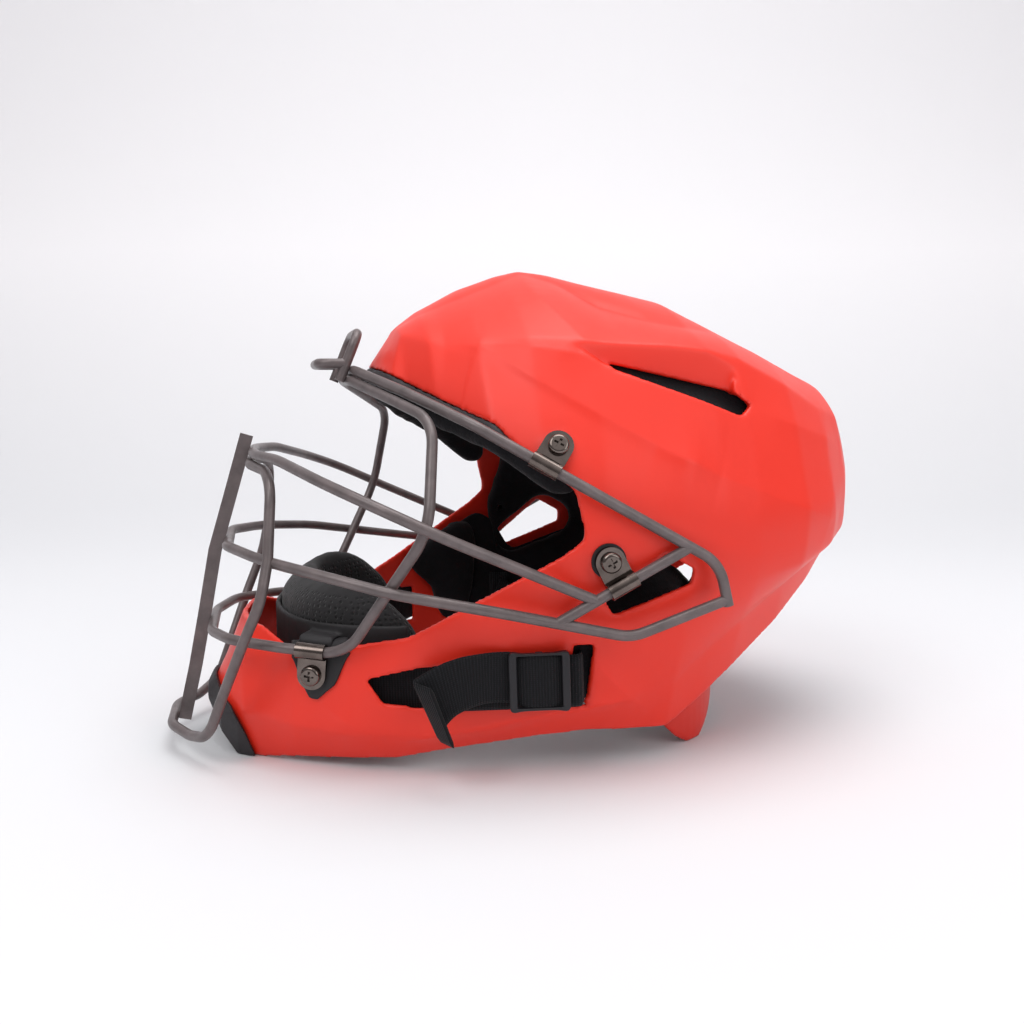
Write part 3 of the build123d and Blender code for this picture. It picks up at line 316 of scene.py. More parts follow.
def lengths_along(points):
    """How far along a line each of its points is."""
    return np.r_[0, np.cumsum(np.linalg.norm(np.diff(points, axis=0), axis=1))]


def share_past(values, start, run):
    """0 up to the start, 1 past the run, and even between."""
    return np.clip((values - start) / run, 0, 1)


def evaluated_mesh(obj):
    depsgraph = bpy.context.evaluated_depsgraph_get()
    return bpy.data.meshes.new_from_object(obj.evaluated_get(depsgraph))


def apply_modifiers(obj):
    mesh = evaluated_mesh(obj)
    obj.modifiers.clear()
    obj.data = mesh


def averager(mesh):
    """A function that gives each vertex the mean of its neighbours' values."""
    edges = np.empty(len(mesh.edges) * 2, np.int64)
    mesh.edges.foreach_get("vertices", edges)
    a, b = edges.reshape(-1, 2).T
    count = len(mesh.vertices)
    degree = np.maximum(1, np.bincount(a, minlength=count) + np.bincount(b, minlength=count))

    def mean(values):
        columns = []
        for column in values.T:
            total = np.bincount(a, weights=column[b], minlength=count)
            total += np.bincount(b, weights=column[a], minlength=count)
            columns.append(total / degree)
        return np.stack(columns, 1)

    return mean


def remeshed(node, name, voxel=None, depth=None, added=()):
    """A new object with a node's shape and the added parts, as an even mesh.

    With a depth its sharp edges stay, and with a voxel size they are rounded.
    """
    work = link(bpy.data.objects.new(name, NODES[node].data.copy()))
    grid = bmesh.new()
    grid.from_mesh(work.data)
    bmesh.ops.remove_doubles(grid, verts=grid.verts, dist=0.00001)
    grid.to_mesh(work.data)
    grid.free()
    for other in added:
        union = work.modifiers.new("union", "BOOLEAN")
        union.operation = "UNION"
        union.solver = "EXACT"
        union.object = other
    modifier = work.modifiers.new("even", "REMESH")
    if depth:
        modifier.mode = "SHARP"
        modifier.octree_depth = depth
        modifier.scale = 0.99
        modifier.sharpness = 1.0
        modifier.use_remove_disconnected = False
    else:
        modifier.mode = "VOXEL"
        modifier.voxel_size = voxel
    apply_modifiers(work)
    work.data.name = name
    for other in added:
        bpy.data.objects.remove(other)
    return work


def relax(mesh, rounds, amount=0.5, coherent=None):
    """Evens out a mesh. With coherent limits, places near an edge stay as they are."""
    mean = averager(mesh)
    co = coordinates(mesh)
    weight = np.ones((len(co), 1))
    if coherent:
        low, high = coherent
        n = vertex_normals(mesh)
        for _ in range(7):
            n = mean(n)
        size = np.linalg.norm(n, axis=1, keepdims=True)
        weight = share_past(size, low, high - low)
        weight = mean(mean(weight))
    for _ in range(rounds):
        co += amount * weight * (mean(co) - co)
    set_coordinates(mesh, co)


def straightened(mesh, rounds, least_angle=0.7):
    """Evens out each sharp edge along its own run, so that it isn't stepped."""
    grid = bmesh.new()
    grid.from_mesh(mesh)
    pairs = [(edge.verts[0].index, edge.verts[1].index) for edge in grid.edges
             if len(edge.link_faces) == 2 and edge.calc_face_angle(0.0) > least_angle]
    grid.free()
    a, b = np.array(pairs).T
    co = coordinates(mesh)
    count = len(co)
    degree = np.bincount(a, minlength=count) + np.bincount(b, minlength=count)
    on_run = (degree == 2)[:, None]
    divisor = np.maximum(degree, 1)[:, None]
    for _ in range(rounds):
        total = np.stack([np.bincount(a, co[b, k], count) + np.bincount(b, co[a, k], count)
                          for k in range(3)], 1)
        co += 0.5 * on_run * (total / divisor - co)
    set_coordinates(mesh, co)


def finished(obj, material, body, slot, *nodes):
    set_material(obj, material)
    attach(obj, body)
    if nodes:
        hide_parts(*nodes)
    return obj


def mesh_object(name, places, faces):
    data = bpy.data.meshes.new(name)
    data.from_pydata([tuple(place) for place in places], [], faces)
    grid = bmesh.new()
    grid.from_mesh(data)
    bmesh.ops.recalc_face_normals(grid, faces=grid.faces)
    grid.to_mesh(data)
    grid.free()
    return link(bpy.data.objects.new(name, data))


def sheet(name, places, columns, rows):
    """A thin sheet of four sided faces, from its places column by column."""
    faces = [(a, a + 1, a + rows + 1, a + rows)
             for column in range(columns - 1)
             for a in range(column * rows, column * rows + rows - 1)]
    return mesh_object(name, places, faces)


def thicken(obj, thickness):
    """Gives a sheet its thickness, half of it on each side."""
    solid = obj.modifiers.new("solid", "SOLIDIFY")
    solid.thickness = thickness
    solid.offset = 0.0
    apply_modifiers(obj)


# The shell, with its facets softened and its edges rounded

CAD_SHELL = BVHTree.FromObject(NODES["outer_shell"], bpy.context.evaluated_depsgraph_get())

# A place across that is outside the shell, and one that every part of its side is beyond
OUTSIDE, LEAST_ACROSS = 0.2, 0.040
BORE_STEP = 0.004
FILLER_CLEARANCE = 0.00003


def shell_hit(across, y, z, way):
    return CAD_SHELL.ray_cast(Vector((across, y, z)), Vector((way, 0, 0)))[0]


def wall(y, z, inner=False):
    """How far across the shell's outer or inner face is, at a place along and up.

    A screw's bore is bridged, by the places just above and below it.
    """
    start, way = (0.0, 1) if inner else (OUTSIDE, -1)
    hits = [shell_hit(start, y, z + step, way) for step in (0, BORE_STEP, -BORE_STEP)]
    found = [hit.x for hit in hits if hit is not None and hit.x > LEAST_ACROSS]
    if hits[0] is not None and hits[0].x > LEAST_ACROSS:
        return found[0]
    return sum(found) / len(found)


def slot_filler(sign, rows):
    """A strip of shell wall that closes part of the jaw slot.

    Each row has its place along, then the heights of the strip's root and edge.
    """
    ends = (rows[0], rows[-1])
    slopes = [(wall(y, (root + edge) / 2) - wall(y, root)) / ((edge - root) / 2)
              for y, root, edge in ends]
    places, faces = [], []
    for y, root, edge in rows:
        slope = np.interp(y, (rows[0][0], rows[-1][0]), slopes)
        outer = wall(y, root) - FILLER_CLEARANCE
        inner = wall(y, root, True) + FILLER_CLEARANCE
        for across in (outer, inner):
            for z in (root, edge):
                places.append((sign * (across + slope * (z - root)), y, z))
    last = 4 * (len(rows) - 1)
    for a in range(0, last, 4):
        for j, k in ((0, 1), (1, 3), (3, 2), (2, 0)):
            faces.append((a + j, a + k, a + 4 + k, a + 4 + j))
    faces += [(0, 1, 3, 2), (last, last + 1, last + 3, last + 2)]
    return mesh_object("filler", places, faces)


LOW_FILLER = [(y, 0.0228, 0.0323) for y in (-0.0670, -0.0610, -0.0540, -0.0470, -0.0395)]
TOP_FILLER = [(-0.0790, 0.0560, 0.0461), (-0.0700, 0.0565, 0.0484), (-0.0610, 0.0575, 0.0507),
              (-0.0550, 0.0578, 0.0514), (-0.0480, 0.0580, 0.0518), (-0.0395, 0.0580, 0.0521)]
fillers = [slot_filler(sign, rows) for sign in (1, -1) for rows in (LOW_FILLER, TOP_FILLER)]
shell = remeshed("outer_shell", "shell_moulding", depth=8, added=fillers)
straightened(shell.data, 10)
relax(shell.data, 3)
relax(shell.data, 4, coherent=(0.80, 0.94))

# Crisp panel lines, seen from the side: places along and up, height and reach
CREASES = [
    ([(-0.0441, 0.1893), (-0.0326, 0.1868), (-0.0215, 0.1815), (-0.0011, 0.1674),
      (0.0231, 0.1535), (0.0422, 0.1432), (0.0675, 0.1329)], 0.0020, 0.014),
    ([(-0.0441, 0.1893), (-0.0166, 0.1880), (0.0013, 0.1853), (0.0197, 0.1820)], 0.0014, 0.010),
    ([(-0.0026, 0.2249), (0.0028, 0.2079), (0.0100, 0.1933), (0.0197, 0.1820)], 0.0014, 0.012),
    ([(0.0378, 0.1450), (0.0674, 0.1317), (0.0992, 0.1206), (0.1454, 0.1056)], 0.0016, 0.014),
    ([(0.0900, 0.1600), (0.1122, 0.1533), (0.1523, 0.1421)], 0.0014, 0.012),
    ([(0.0080, 0.0560), (0.0173, 0.0477), (0.0307, 0.0340), (0.0424, 0.0245)], 0.0018, 0.009),
    ([(-0.0719, 0.0158), (-0.0572, 0.0202), (-0.0402, 0.0233), (-0.0187, 0.0280),
      (0.0060, 0.0315), (0.0355, 0.0350)], 0.0020, 0.005),
    ([(-0.1043, 0.0332), (-0.0931, 0.0261), (-0.0805, 0.0196)], 0.0016, 0.008),
]
CREASE_FADE = 0.014
SHELL_CENTRE = (0.0, 0.030, 0.090)


def creased(mesh, centre):
    """Lifts a sharp low ridge along each line, on the outer face alone, fading at its ends."""
    co = coordinates(mesh)
    n = vertex_normals(mesh)
    outer = ((co - np.array(centre)) * n).sum(1) > 0
    flat = co[:, 1:]
    for points, height, reach in CREASES:
        p = np.array(points)
        lengths = lengths_along(p)
        best, place = np.full(len(co), 1.0), np.zeros(len(co))
        for a, b, start, end in zip(p, p[1:], lengths, lengths[1:]):
            t = np.clip((flat - a) @ (b - a) / (end - start) ** 2, 0, 1)
            away = np.linalg.norm(flat - a - t[:, None] * (b - a), axis=1)
            nearer = away < best
            best[nearer] = away[nearer]
            place[nearer] = (start + t * (end - start))[nearer]
        fade = np.clip(np.minimum(place, lengths[-1] - place) / CREASE_FADE, 0, 1)
        co += n * (outer * fade * height * np.exp(-best / reach))[:, None]
    set_coordinates(mesh, co)


creased(shell.data, SHELL_CENTRE)
finished(shell, RED, "helmet", "shell_plastic", "outer_shell")

plate = remeshed("back_plate", "back_plate_moulding", depth=7)
relax(plate.data, 3)
finished(plate, PLATE_RED, "back_plate", "plate_plastic", "back_plate")

for node, rounds in (("brow_visor", 2), ("chin_bumper", 4)):
    trim = remeshed(node, node + "_rubber", depth=7)
    relax(trim.data, rounds)
    finished(trim, TRIM, "helmet", "trim", node)

cup = remeshed("chin_cup", "chin_cup_rubber", 0.0008)
relax(cup.data, 4)
finished(cup, BLACK_RUBBER, "helmet", "soft_rubber", "chin_cup")


# Pads and cushion, swelled by a short cloth run and kept off the wall behind them

CLOTH_FRAMES = 10


def outward(co, centre):
    away = co - np.array(centre)
    return away / np.maximum(1e-9, np.linalg.norm(away, axis=1, keepdims=True))


def swell(obj, pressure, cap, centre, wall_share):
    """Cloth pressure inside the piece, with each point's move capped and kept off the wall."""
    start = coordinates(obj.data)
    modifier = obj.modifiers.new("stuffing", "CLOTH")
    settings = modifier.settings
    settings.quality = 4
    settings.use_pressure = True
    settings.uniform_pressure_force = pressure
    settings.effector_weights.gravity = 0.0
    settings.tension_stiffness = 22.0
    settings.compression_stiffness = 22.0
    settings.shear_stiffness = 8.0
    settings.bending_stiffness = 1.5
    modifier.point_cache.frame_start = 1
    modifier.point_cache.frame_end = CLOTH_FRAMES
    for step in range(1, CLOTH_FRAMES + 1):
        SCENE.frame_set(step)
    move = coordinates(evaluated_mesh(obj)) - start
    obj.modifiers.clear()
    SCENE.frame_set(1)
    if centre is not None:
        away = outward(start, centre)
        along = (move * away).sum(1, keepdims=True)
        move = move - np.clip(along, 0, None) * away * (1 - wall_share)
    size = np.linalg.norm(move, axis=1, keepdims=True)
    move = move * np.minimum(1, cap / np.maximum(size, 1e-9))
    set_coordinates(obj.data, start + move)


def subdivided(obj):
    modifier = obj.modifiers.new("fine", "SUBSURF")
    modifier.levels = 1
    modifier.render_levels = 1
    apply_modifiers(obj)


def soft_pad(node, name, centre, cap=0.0022, rounds=5, material=LINING,
             slot="lining_fabric", body="helmet", voxel=0.0036, shaped=None):
    pad = remeshed(node, name, voxel)
    if shaped:
        set_coordinates(pad.data, shaped(coordinates(pad.data)))
    relax(pad.data, rounds)
    swell(pad, 4.0, cap, centre, 0.1)
    relax(pad.data, 1)
    subdivided(pad)
    finished(pad, material, body, slot, node)


NAPE_RISE, NAPE_LEAN = 0.0190, 0.0110
FOREHEAD_LIFT = 0.0075
CUSHION_FOOT = 0.046
DOME_ALONG = [-0.118, -0.112, -0.106, -0.100, -0.094, -0.088, -0.082, -0.076, -0.070, -0.064,
              -0.058]
DOME_LIFT = [-0.012, -0.010, -0.006, -0.001, 0.004, 0.007, 0.009, 0.010, 0.008, 0.004, 0.0]
DOME_TOP = [0.082, 0.086, 0.086, 0.085, 0.081, 0.078, 0.074, 0.071, 0.068, 0.065, 0.062]


def taller(co):
    """The nape pad stands above its plate, and leans forward there."""
    co[:, 2] += NAPE_RISE * share_past(co[:, 2], 0.030, 0.030)
    co[:, 1] -= NAPE_LEAN * share_past(co[:, 2], 0.056, 0.020)
    return co


def lifted(co):
    """The forehead pad's ends are cut higher than its middle."""
    end = share_past(np.abs(co[:, 0]), 0.050, 0.032)
    co[:, 2] += FOREHEAD_LIFT * end * np.clip((0.155 - co[:, 2]) / 0.038, 0, 1)
    return co


def domed(co):
    """The chin cushion is low in front, and swells to a round lobe on each side."""
    lift = np.interp(co[:, 1], DOME_ALONG, DOME_LIFT)
    top = np.interp(co[:, 1], DOME_ALONG, DOME_TOP)
    co[:, 2] += lift * np.clip((co[:, 2] - CUSHION_FOOT) / (top - CUSHION_FOOT), 0, 1.1)
    return co


# The middles that each pad is swelled towards
HEAD, JAW, NAPE = (0.0, 0.030, 0.110), (0.0, -0.030, 0.060), (0.0, 0.020, 0.040)

soft_pad("forehead_pad", "forehead_liner", HEAD, shaped=lifted)
soft_pad("crown_pad", "crown_liner", HEAD)
soft_pad("rear_pad", "rear_liner", HEAD)
for side in SIDES:
    soft_pad(f"side_pad_{side}", f"side_liner_{side}", HEAD)
    soft_pad(f"jaw_pad_{side}", f"jaw_liner_{side}", JAW)
soft_pad("back_plate_pad", "back_plate_liner", NAPE, body="back_plate", voxel=0.0030,
         shaped=taller)
soft_pad("chin_cushion", "chin_cushion_soft", None, cap=0.0012, rounds=4,
         material=CUSHION, slot="cushion_fabric", voxel=0.0030, shaped=domed)


# The wide rubber tab on each side: from the cup over the shell's edge, down under the jaw clip

TAB_ALONG = [-0.1146, -0.1125, -0.1104, -0.1077, -0.1043, -0.1005, -0.0970, -0.0945, -0.0925,
             -0.0905]
TAB_LOW = [0.0530, 0.0475, 0.0410, 0.0350, 0.0345, 0.0385, 0.0417, 0.0480, 0.0530, 0.0560]

# The tab's roll over the jaw's upper edge: across from the outer face, and up from the edge
TAB_ROLL = [(-0.0110, 0.0012), (-0.0045, 0.0022), (-0.0008, 0.0014), (0.0, -0.0014)]
TAB_THICKNESS = 0.00155
RIM_FROM, RIM_TO, RIM_STEP = 0.0520, 0.0700, 0.0004


def rim_height(y):
    """The height of the jaw's upper edge at a place along."""
    for z in np.arange(RIM_FROM, RIM_TO, RIM_STEP):
        hit = shell_hit(OUTSIDE, y, z, -1)
        if hit is None or hit.x < LEAST_ACROSS:
            return z - RIM_STEP
    return RIM_TO


def cup_tab(side, columns=22, rows=26):
    sign = 1 if side == "left" else -1
    places = []
    for y in np.linspace(TAB_ALONG[0], TAB_ALONG[-1], columns):
        low = np.interp(y, TAB_ALONG, TAB_LOW)
        rim = rim_height(y)
        out = wall(y, rim - 0.0010) + 0.0009
        path = [(out + across, y, rim + up) for across, up in TAB_ROLL]
        path += [(wall(y, z) + 0.00088, y, z) for z in np.linspace(rim - 0.0030, low, 9)]
        path = np.array(path)
        lengths = lengths_along(path)
        marks = np.linspace(0, lengths[-1], rows)
        for x, along, up in zip(*[np.interp(marks, lengths, path[:, k]) for k in range(3)]):
            places.append((sign * x, along, up))
    tab = sheet(f"chin_cup_tab_{side}", places, columns, rows)
    thicken(tab, TAB_THICKNESS)
    relax(tab.data, 1, 0.4)
    finished(tab, BLACK_RUBBER, "helmet", "soft_rubber")


# Thin cheek lining on the inner wall, from the face edge to behind the ear

LINING_ALONG = [-0.0480, -0.0285, -0.0283, -0.0212, 0.0002, 0.0126, 0.0194, 0.0300, 0.0536,
                0.0620, 0.0760]
LINING_LOW = [0.0680, 0.0646, 0.0310, 0.0310, 0.0310, 0.0340, 0.0365, 0.0405, 0.0520,
              0.0565, 0.0630]
LINING_HIGH = [0.0700, 0.0795, 0.0797, 0.0843, 0.0975, 0.0890, 0.0710, 0.0745, 0.0825,
               0.0850, 0.0900]
LINING_THICKNESS = 0.0024
LINING_SET_IN = 0.0040
LEAST_INNER = 0.060


def cheek_lining(side, columns=56, rows=30):
    sign = 1 if side == "left" else -1
    places = []
    for y in np.linspace(LINING_ALONG[0], LINING_ALONG[-1], columns):
        low = np.interp(y, LINING_ALONG, LINING_LOW)
        high = np.interp(y, LINING_ALONG, LINING_HIGH)
        heights = np.linspace(low, high, rows)
        hits = [shell_hit(0, y, z, 1) for z in heights]
        known = [(z, hit.x) for z, hit in zip(heights, hits)
                 if hit is not None and hit.x > LEAST_INNER]
        across = np.interp(heights, *zip(*known)) - LINING_SET_IN
        places += [(sign * x, y, z) for x, z in zip(across, heights)]
    lining = sheet(f"cheek_lining_{side}", places, columns, rows)
    relax(lining.data, 6)
    thicken(lining, LINING_THICKNESS)
    relax(lining.data, 2)
    finished(lining, LINING, "helmet", "lining_fabric")


for side in SIDES:
    cup_tab(side)
    cheek_lining(side)

# The rubber rings show a little beyond the ear clips
RING_GROWTH = 1.17
rings = link(bpy.data.objects.new("ear_rings", NODES["ear_grommets"].data.copy()))
places = coordinates(rings.data)
middle = (places.min(0) + places.max(0)) / 2
places[:, 1:] = middle[1:] + (places[:, 1:] - middle[1:]) * RING_GROWTH
set_coordinates(rings.data, places)
finished(rings, BLACK_RUBBER, "helmet", "soft_rubber", "ear_grommets")


# Webbing

STRAP_THICKNESS = 0.0015
ELASTIC_WIDTH = 0.019

# The least thickness at a ribbon's rounded edge, as a share squared
EDGE_LEAST = 0.08


def rounded_line(points, radius, steps=6, closed=False):
    """Straight runs with short round corners."""
    p = [np.array(point, float) for point in points]
    ring = [p[-1]] + p + [p[0]] if closed else p
    line = [] if closed else [p[0]]
    for before, corner, after in zip(ring, ring[1:], ring[2:]):
        u, v = before - corner, after - corner
        reach = min(radius, 0.45 * np.linalg.norm(u), 0.45 * np.linalg.norm(v))
        start = corner + u / np.linalg.norm(u) * reach
        end = corner + v / np.linalg.norm(v) * reach
        for step in range(steps + 1):
            t = step / steps
            line.append((1 - t) ** 2 * start + 2 * t * (1 - t) * corner + t ** 2 * end)
    if not closed:
        line.append(p[-1])
    return line


def ribbon_section(half, edge, across):
    """The ring of a ribbon's section: a share of its half width, and metres off its middle."""
    section = []
    for sign, order in ((1, range(across + 1)), (-1, range(across, -1, -1))):
        for index in order:
            u = -1 + 2 * index / across
            inset = max(0.0, (abs(u) * half - (half - edge)) / edge)
            off = edge * math.sqrt(max(EDGE_LEAST, 1 - inset ** 2 * (1 - EDGE_LEAST)))
            section.append((u, sign * off))
    return section


def ribbon(name, top, low, thickness, gap=0.0010, across=12):
    """Webbing between two edge lines of as many points, with a weave map in millimetres."""
    top, low = np.array(top), np.array(low)
    lengths = lengths_along((top + low) / 2)
    marks = np.linspace(0, lengths[-1], max(2, int(round(lengths[-1] / gap)) + 1))
    top = np.stack([np.interp(marks, lengths, top[:, k]) for k in range(3)], 1)
    low = np.stack([np.interp(marks, lengths, low[:, k]) for k in range(3)], 1)
    runs = np.gradient((top + low) / 2, axis=0)
    half = np.linalg.norm(top - low, axis=1).mean() / 2
    section = ribbon_section(half, thickness / 2, across)
    mesh = bmesh.new()
    uv_layer = mesh.loops.layers.uv.new("weave")
    rings = []
    for a, b, run in zip(top, low, runs):
        face = np.cross(run, a - b)
        face /= np.linalg.norm(face)
        rings.append([mesh.verts.new((a + b) / 2 + (a - b) / 2 * u + face * w)
                      for u, w in section])
    count = len(section)
    for ring, after, mark, mark_after in zip(rings, rings[1:], marks, marks[1:]):
        for k in range(count):
            j = (k + 1) % count
            quad = mesh.faces.new((ring[k], ring[j], after[j], after[k]))
            values = [(section[k][0], mark), (section[j][0], mark),
                      (section[j][0], mark_after), (section[k][0], mark_after)]
            for loop, (u, v) in zip(quad.loops, values):
                loop[uv_layer].uv = (u * half / MILLIMETRE, v / MILLIMETRE)
    for ring, order in ((rings[0], -1), (rings[-1], 1)):
        for k in range(across):
            quad = [ring[k], ring[k + 1], ring[count - 2 - k], ring[count - 1 - k]]
            cap = mesh.faces.new(quad[::order])
            for loop in cap.loops:
                loop[uv_layer].uv = (0.0, 0.0)
    bmesh.ops.recalc_face_normals(mesh, faces=mesh.faces)
    data = bpy.data.meshes.new(name)
    mesh.to_mesh(data)
    mesh.free()
    return link(bpy.data.objects.new(name, data))


def straight_ribbon(name, points, way, width, thickness, radius):
    """Webbing along a line, square to it, with its width along one fixed way."""
    line = np.array(rounded_line(points, radius))
    runs = np.gradient(line, axis=0)
    runs /= np.linalg.norm(runs, axis=1, keepdims=True)
    side = np.array(way, float) - runs * (runs @ np.array(way, float))[:, None]
    side *= width / 2 / np.linalg.norm(side, axis=1, keepdims=True)
    return ribbon(name, line + side, line - side, thickness)


def from_shares(across, along, up):
    return np.array((across * HALF_WIDTH, along * LENGTH, up * HEIGHT))


def mirrored(points, side):
    sign = np.array((1.0 if side == "left" else -1.0, 1.0, 1.0))
    return [np.array(point) * sign for point in points]


# The jaw strap's own tilted line: each point's share across, and its share along the line
TILT = math.radians(2.0)
STRAP_ORIGIN = from_shares(0.0, 0.016, 0.2026)
STRAP_ALONG = np.array((0.0, math.cos(TILT), math.sin(TILT)))
STRAP_UP = np.array((0.0, -math.sin(TILT), math.cos(TILT)))
STRAP_ROUTE = [(0.612, -0.268), (0.700, -0.188), (0.859, -0.135), (0.955, 0.000),
               (0.831, 0.009), (0.803, 0.033)]
STRAP_POINTS = [STRAP_ORIGIN + from_shares(across, 0, 0) + STRAP_ALONG * along * LENGTH
                for across, along in STRAP_ROUTE]

# How far each point's upper and lower edge is from that line, closer where it bunches up
STRAP_TOPS = [0.0068, 0.0068, 0.0112, 0.0116, 0.0116, 0.0116]
STRAP_LOWS = [0.0150, 0.0150, 0.0116, 0.0116, 0.0116, 0.0116]
STRAP_EDGES = ([point + STRAP_UP * top for point, top in zip(STRAP_POINTS, STRAP_TOPS)],
               [point - STRAP_UP * low for point, low in zip(STRAP_POINTS, STRAP_LOWS)])

# The slider's middle, on the strap's open run, and the ways along the strap and off the shell
SLIDER_SHARE = 0.626
RUN = STRAP_POINTS[3] - STRAP_POINTS[2]
SLIDER = STRAP_POINTS[2] + RUN * SLIDER_SHARE
RUN /= np.linalg.norm(RUN)
OFF = np.cross(RUN, STRAP_UP)
SLIDER += STRAP_UP * 0.00145 - RUN * 0.0006


def at_slider(u, v, w):
    """A point by the slider, from millimetres along the strap, up it, and off the shell."""
    return SLIDER + (RUN * u + STRAP_UP * v + OFF * w) * MILLIMETRE


# The loose tail's upper and lower edge, in the slider's millimetres
TAIL_TOP = [(12.4, 11.6, 1.6), (9.2, 11.6, 1.9), (5.2, 11.6, 4.5), (-5.2, 11.6, 4.5),
            (-9.0, 11.9, 2.0), (-12.0, 12.8, 1.7), (-17.6, 13.3, 2.8), (-24.8, 13.2, 4.5),
            (-32.3, 12.7, 6.2), (-39.9, 11.0, 8.0), (-47.0, 7.8, 9.4), (-53.8, 4.0, 10.0),
            (-45.3, 2.2, 15.0)]
TAIL_LOW = [(12.4, -11.6, 1.6), (9.2, -11.6, 1.9), (5.2, -11.6, 4.5), (-5.2, -11.6, 4.5),
            (-9.0, -11.0, 2.0), (-12.2, -9.6, 1.7), (-18.4, -8.6, 2.8), (-24.8, -8.7, 4.5),
            (-30.7, -10.1, 6.0), (-35.8, -12.1, 7.4), (-39.7, -15.5, 8.4), (-43.4, -22.5, 9.0),
            (-36.7, -22.1, 19.0)]


def rectangle(half_width, half_height):
    return [(-half_width, half_height), (half_width, half_height),
            (half_width, -half_height), (-half_width, -half_height)]


# The slider's ring and middle bar, in millimetres: outlines, thickness, rounded edge and level
SLIDER_OUTER = [(-12.4, 12.9), (-7.5, 11.9), (7.5, 11.9), (12.4, 12.9),
                (12.4, -12.9), (7.5, -11.9), (-7.5, -11.9), (-12.4, -12.9)]
SLIDER_RING = ((rounded_line(SLIDER_OUTER, 2.6, 5, True),
                rounded_line(rectangle(10.2, 11.9), 1.2, 4, True)), 2.9, 0.6, 3.95)
SLIDER_BAR = ((rounded_line(rectangle(1.3, 12.2), 0.3, 3, True),), 1.6, 0.5, 3.0)


def flat_frame(outlines, thickness, edge):
    """A flat plate in millimetres with rounded edges, from its outline and any window."""
    curve = bpy.data.curves.new("frame", "CURVE")
    curve.dimensions = "2D"
    curve.fill_mode = "BOTH"
    curve.extrude = thickness / 2 - edge
    curve.bevel_depth = edge
    curve.bevel_resolution = 3
    for outline in outlines:
        spline = curve.splines.new("POLY")
        spline.points.add(len(outline) - 1)
        for point, (u, v) in zip(spline.points, outline):
            point.co = (u, v, 0, 1)
        spline.use_cyclic_u = True
    work = link(bpy.data.objects.new("frame", curve))
    mesh = evaluated_mesh(work)
    bpy.data.objects.remove(work)
    return mesh


def slider(side):
    """A three bar slider, its middle bar set back under the webbing."""
    grid = bmesh.new()
    for outlines, thickness, edge, level in (SLIDER_RING, SLIDER_BAR):
        before = len(grid.verts)
        grid.from_mesh(flat_frame(outlines, thickness, edge))
        grid.verts.ensure_lookup_table()
        for vertex in grid.verts[before:]:
            u, v, w = vertex.co
            vertex.co = mirrored([at_slider(u, v, w + level)], side)[0]
    bmesh.ops.remove_doubles(grid, verts=grid.verts, dist=0.000005)
    bmesh.ops.recalc_face_normals(grid, faces=grid.faces)
    data = bpy.data.meshes.new(f"strap_slider_{side}_frame")
    grid.to_mesh(data)
    grid.free()
    return link(bpy.data.objects.new(data.name, data))


for side in SIDES:
    edges = [rounded_line(mirrored(line, side), 0.0035) for line in STRAP_EDGES]
    strap = ribbon(f"jaw_strap_{side}", *edges, STRAP_THICKNESS)
    finished(strap, WEB, "helmet", "webbing", f"strap_{side}")
    edges = [rounded_line(mirrored([at_slider(*row) for row in rows], side), 0.0024)
             for rows in (TAIL_TOP, TAIL_LOW)]
    tail = ribbon(f"strap_tail_{side}_webbing", *edges, STRAP_THICKNESS, 0.0007)
    finished(tail, WEB, f"slider_{side}", "webbing", f"strap_tail_{side}")
    finished(slider(side), BLACK_PLASTIC, f"slider_{side}", "slider_plastic",
             f"strap_slider_{side}")

# The back plate's elastics, by shares of the helmet. Each row also names the point at the
# helmet's end and the point at the plate's end.
REAR_ROUTE = [(0.813, 0.026, 0.200), (0.620, 0.158, 0.105), (0.594, 0.190, 0.090)]
CENTRE_ROUTE = [(0, 0.3003, 0.190), (0, 0.3003, 0.270), (0, 0.4873, 0.440), (0, 0.4873, 0.484)]
rear_points = [from_shares(*shares) for shares in REAR_ROUTE]
centre_points = [from_shares(*shares) for shares in CENTRE_ROUTE]
elastics = [(f"rear_strap_{side}", mirrored(rear_points, side), (0, 0.42, 0.9), 0, 1)
            for side in SIDES]
elastics.append(("rear_centre_strap", centre_points, (1, 0, 0), 3, 0))
for node, points, way, far, near in elastics:
    elastic = straight_ribbon(f"{node}_webbing", points, way, ELASTIC_WIDTH, STRAP_THICKNESS,
                              0.006)
    set_material(elastic, WEB)
    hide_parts(node)
    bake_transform(elastic)


# The CAD nodes that stay

BARS = ("i_bar", "perimeter_bar", "eye_frame_bar", "eye_bar", "mouth_bar", "chin_loop_bar",
        "side_link_bar_left", "side_link_bar_right", "crown_guard_upright",
        "crown_guard_forward")
KEPT = dict.fromkeys(BARS, PAINT)
KEPT.update(clip_screws=SCREW, clip_nuts=STEEL, back_plate_rivets=RIVET)
KEPT.update((f"{place}_clip_{side}", CLIP) for place in ("brow", "ear", "jaw") for side in SIDES)
for node, material in KEPT.items():
    NODES[node].data.materials.clear()
    NODES[node].data.materials.append(material)


# Floor, backdrop, light and camera

def stage_material(name, low, high):
    """Matt paper with painted shade: darker on the floor, paler up the backdrop."""
    material, tree, shader = new_material(name)
    split = add_node(tree, "ShaderNodeSeparateXYZ")
    tree.links.new(object_place(tree), split.inputs["Vector"])
    # Painted shade: the paper's colour is darker low on the floor and paler up the backdrop
    paper = ramp(tree, split.outputs["Z"], [(0.02, low), (0.40, high)])
    tree.links.new(paper, shader.inputs["Base Color"])
    shader.inputs["Roughness"].default_value = 0.9
    shader.inputs["Specular IOR Level"].default_value = 0.1
    return material


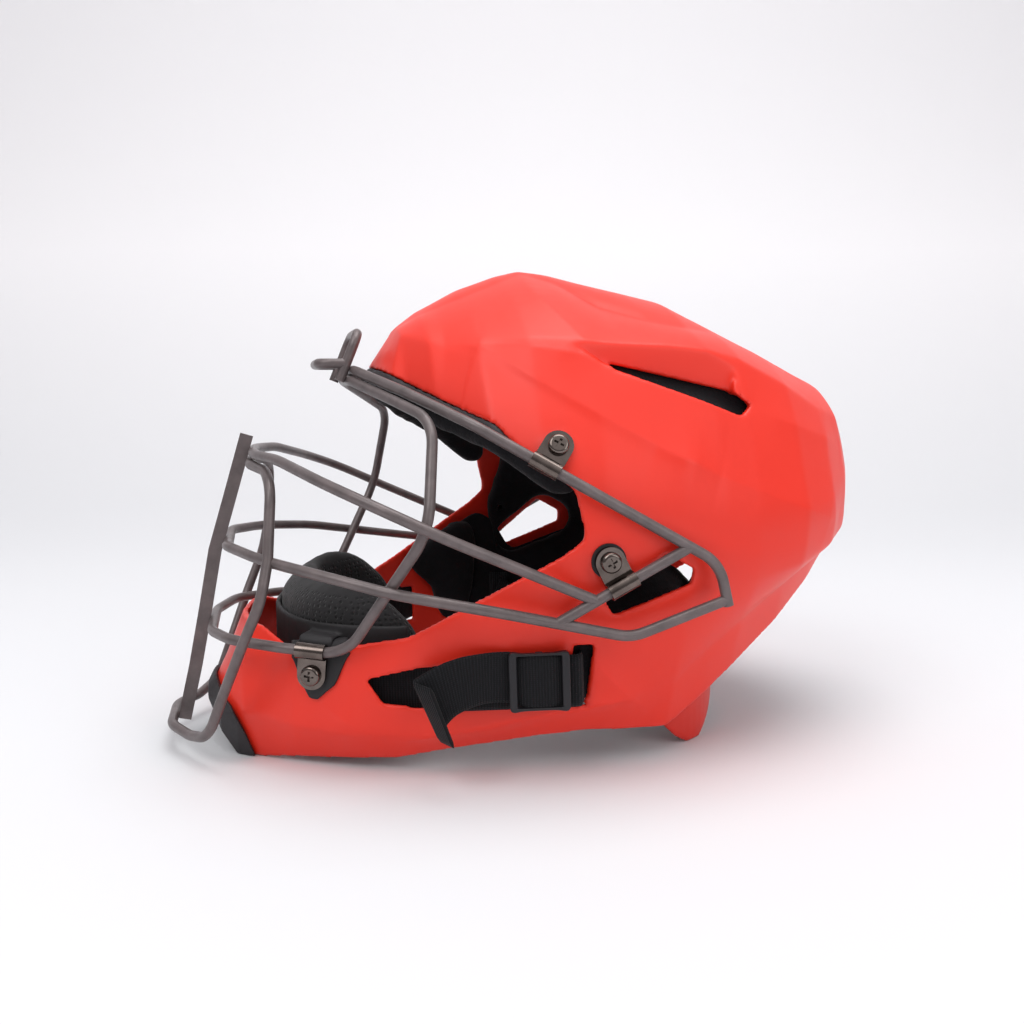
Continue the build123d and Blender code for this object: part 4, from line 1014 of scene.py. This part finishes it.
# The sweep's section: where the floor starts and ends, the curve's radius, and the top
FLOOR_START, FLOOR_END, CURVE_RADIUS, CURVE_STEPS, SWEEP_TOP = -2.6, 0.55, 0.8, 12, 3.2
SWEEP_HALF_WIDTH = 3.5
FLOOR_DROP = 0.0002


def sweep_backdrop():
    """One sheet: the floor, rising in a wide curve behind the object."""
    mesh = bmesh.new()
    profile = [(FLOOR_START, 0.0), (FLOOR_END, 0.0)]
    for step in range(1, CURVE_STEPS + 1):
        angle = math.radians(90 * step / CURVE_STEPS)
        profile.append((FLOOR_END + CURVE_RADIUS * math.sin(angle),
                        CURVE_RADIUS - CURVE_RADIUS * math.cos(angle)))
    profile.append((FLOOR_END + CURVE_RADIUS, SWEEP_TOP))
    way = Vector((-math.cos(TURN), math.sin(TURN), 0))
    side = Vector((way.y, -way.x, 0))
    rows = [[mesh.verts.new(way * along + side * across + Vector((0, 0, up - FLOOR_DROP)))
             for across in (-SWEEP_HALF_WIDTH, SWEEP_HALF_WIDTH)]
            for along, up in profile]
    for a, b in zip(rows, rows[1:]):
        mesh.faces.new((a[0], a[1], b[1], b[0]))
    data = bpy.data.meshes.new("studio_sweep")
    mesh.to_mesh(data)
    mesh.free()
    return link(bpy.data.objects.new("studio_sweep", data))


sweep = sweep_backdrop()
set_material(sweep, stage_material("pale_sweep", (0.740, 0.748, 0.766), (0.99, 0.98, 0.995)))


def lamp(name, place, target, power, size):
    light = bpy.data.lights.new(name, "AREA")
    light.shape = "DISK"
    light.size = size
    light.energy = power
    obj = link(bpy.data.objects.new(name, light))
    obj.location = place
    way = Vector(target) - Vector(place)
    obj.rotation_euler = way.to_track_quat("-Z", "Y").to_euler()


lamp("key", (0.75, -0.85, 1.25), (0.0, 0.0, 0.12), 6.5, 0.9)
lamp("top", (0.05, 0.15, 1.5), (0.0, 0.0, 0.10), 10.0, 1.1)
lamp("fill", (1.30, 0.85, 0.70), (0.0, 0.0, 0.10), 4.5, 1.0)

world = bpy.data.worlds.new("studio")
SCENE.world = world
world.use_nodes = True
sky = world.node_tree
height = add_node(sky, "ShaderNodeSeparateXYZ")
sky_place = add_node(sky, "ShaderNodeTexCoord").outputs["Generated"]
sky.links.new(sky_place, height.inputs["Vector"])
shade = ramp(sky, height.outputs["Z"], [(0.0, (0.42, 0.41, 0.42)), (0.30, (0.34, 0.33, 0.34)),
                                        (0.85, (1.25, 1.23, 1.25))])
sky.links.new(shade, sky.nodes["Background"].inputs["Color"])
sky.nodes["Background"].inputs["Strength"].default_value = 0.82

camera_data = bpy.data.cameras.new("camera")
camera_data.sensor_width = 36.0
camera_data.lens = 35.0
camera_data.clip_start = 0.01
camera = link(bpy.data.objects.new("camera", camera_data))
look = Vector((-math.cos(TURN) * math.cos(PITCH), math.sin(TURN) * math.cos(PITCH),
               -math.sin(PITCH)))
camera.location = (0.4965, -0.1213, 0.1715)
camera.rotation_euler = look.to_track_quat("-Z", "Y").to_euler()
SCENE.camera = camera

SCENE.view_settings.view_transform = "Standard"
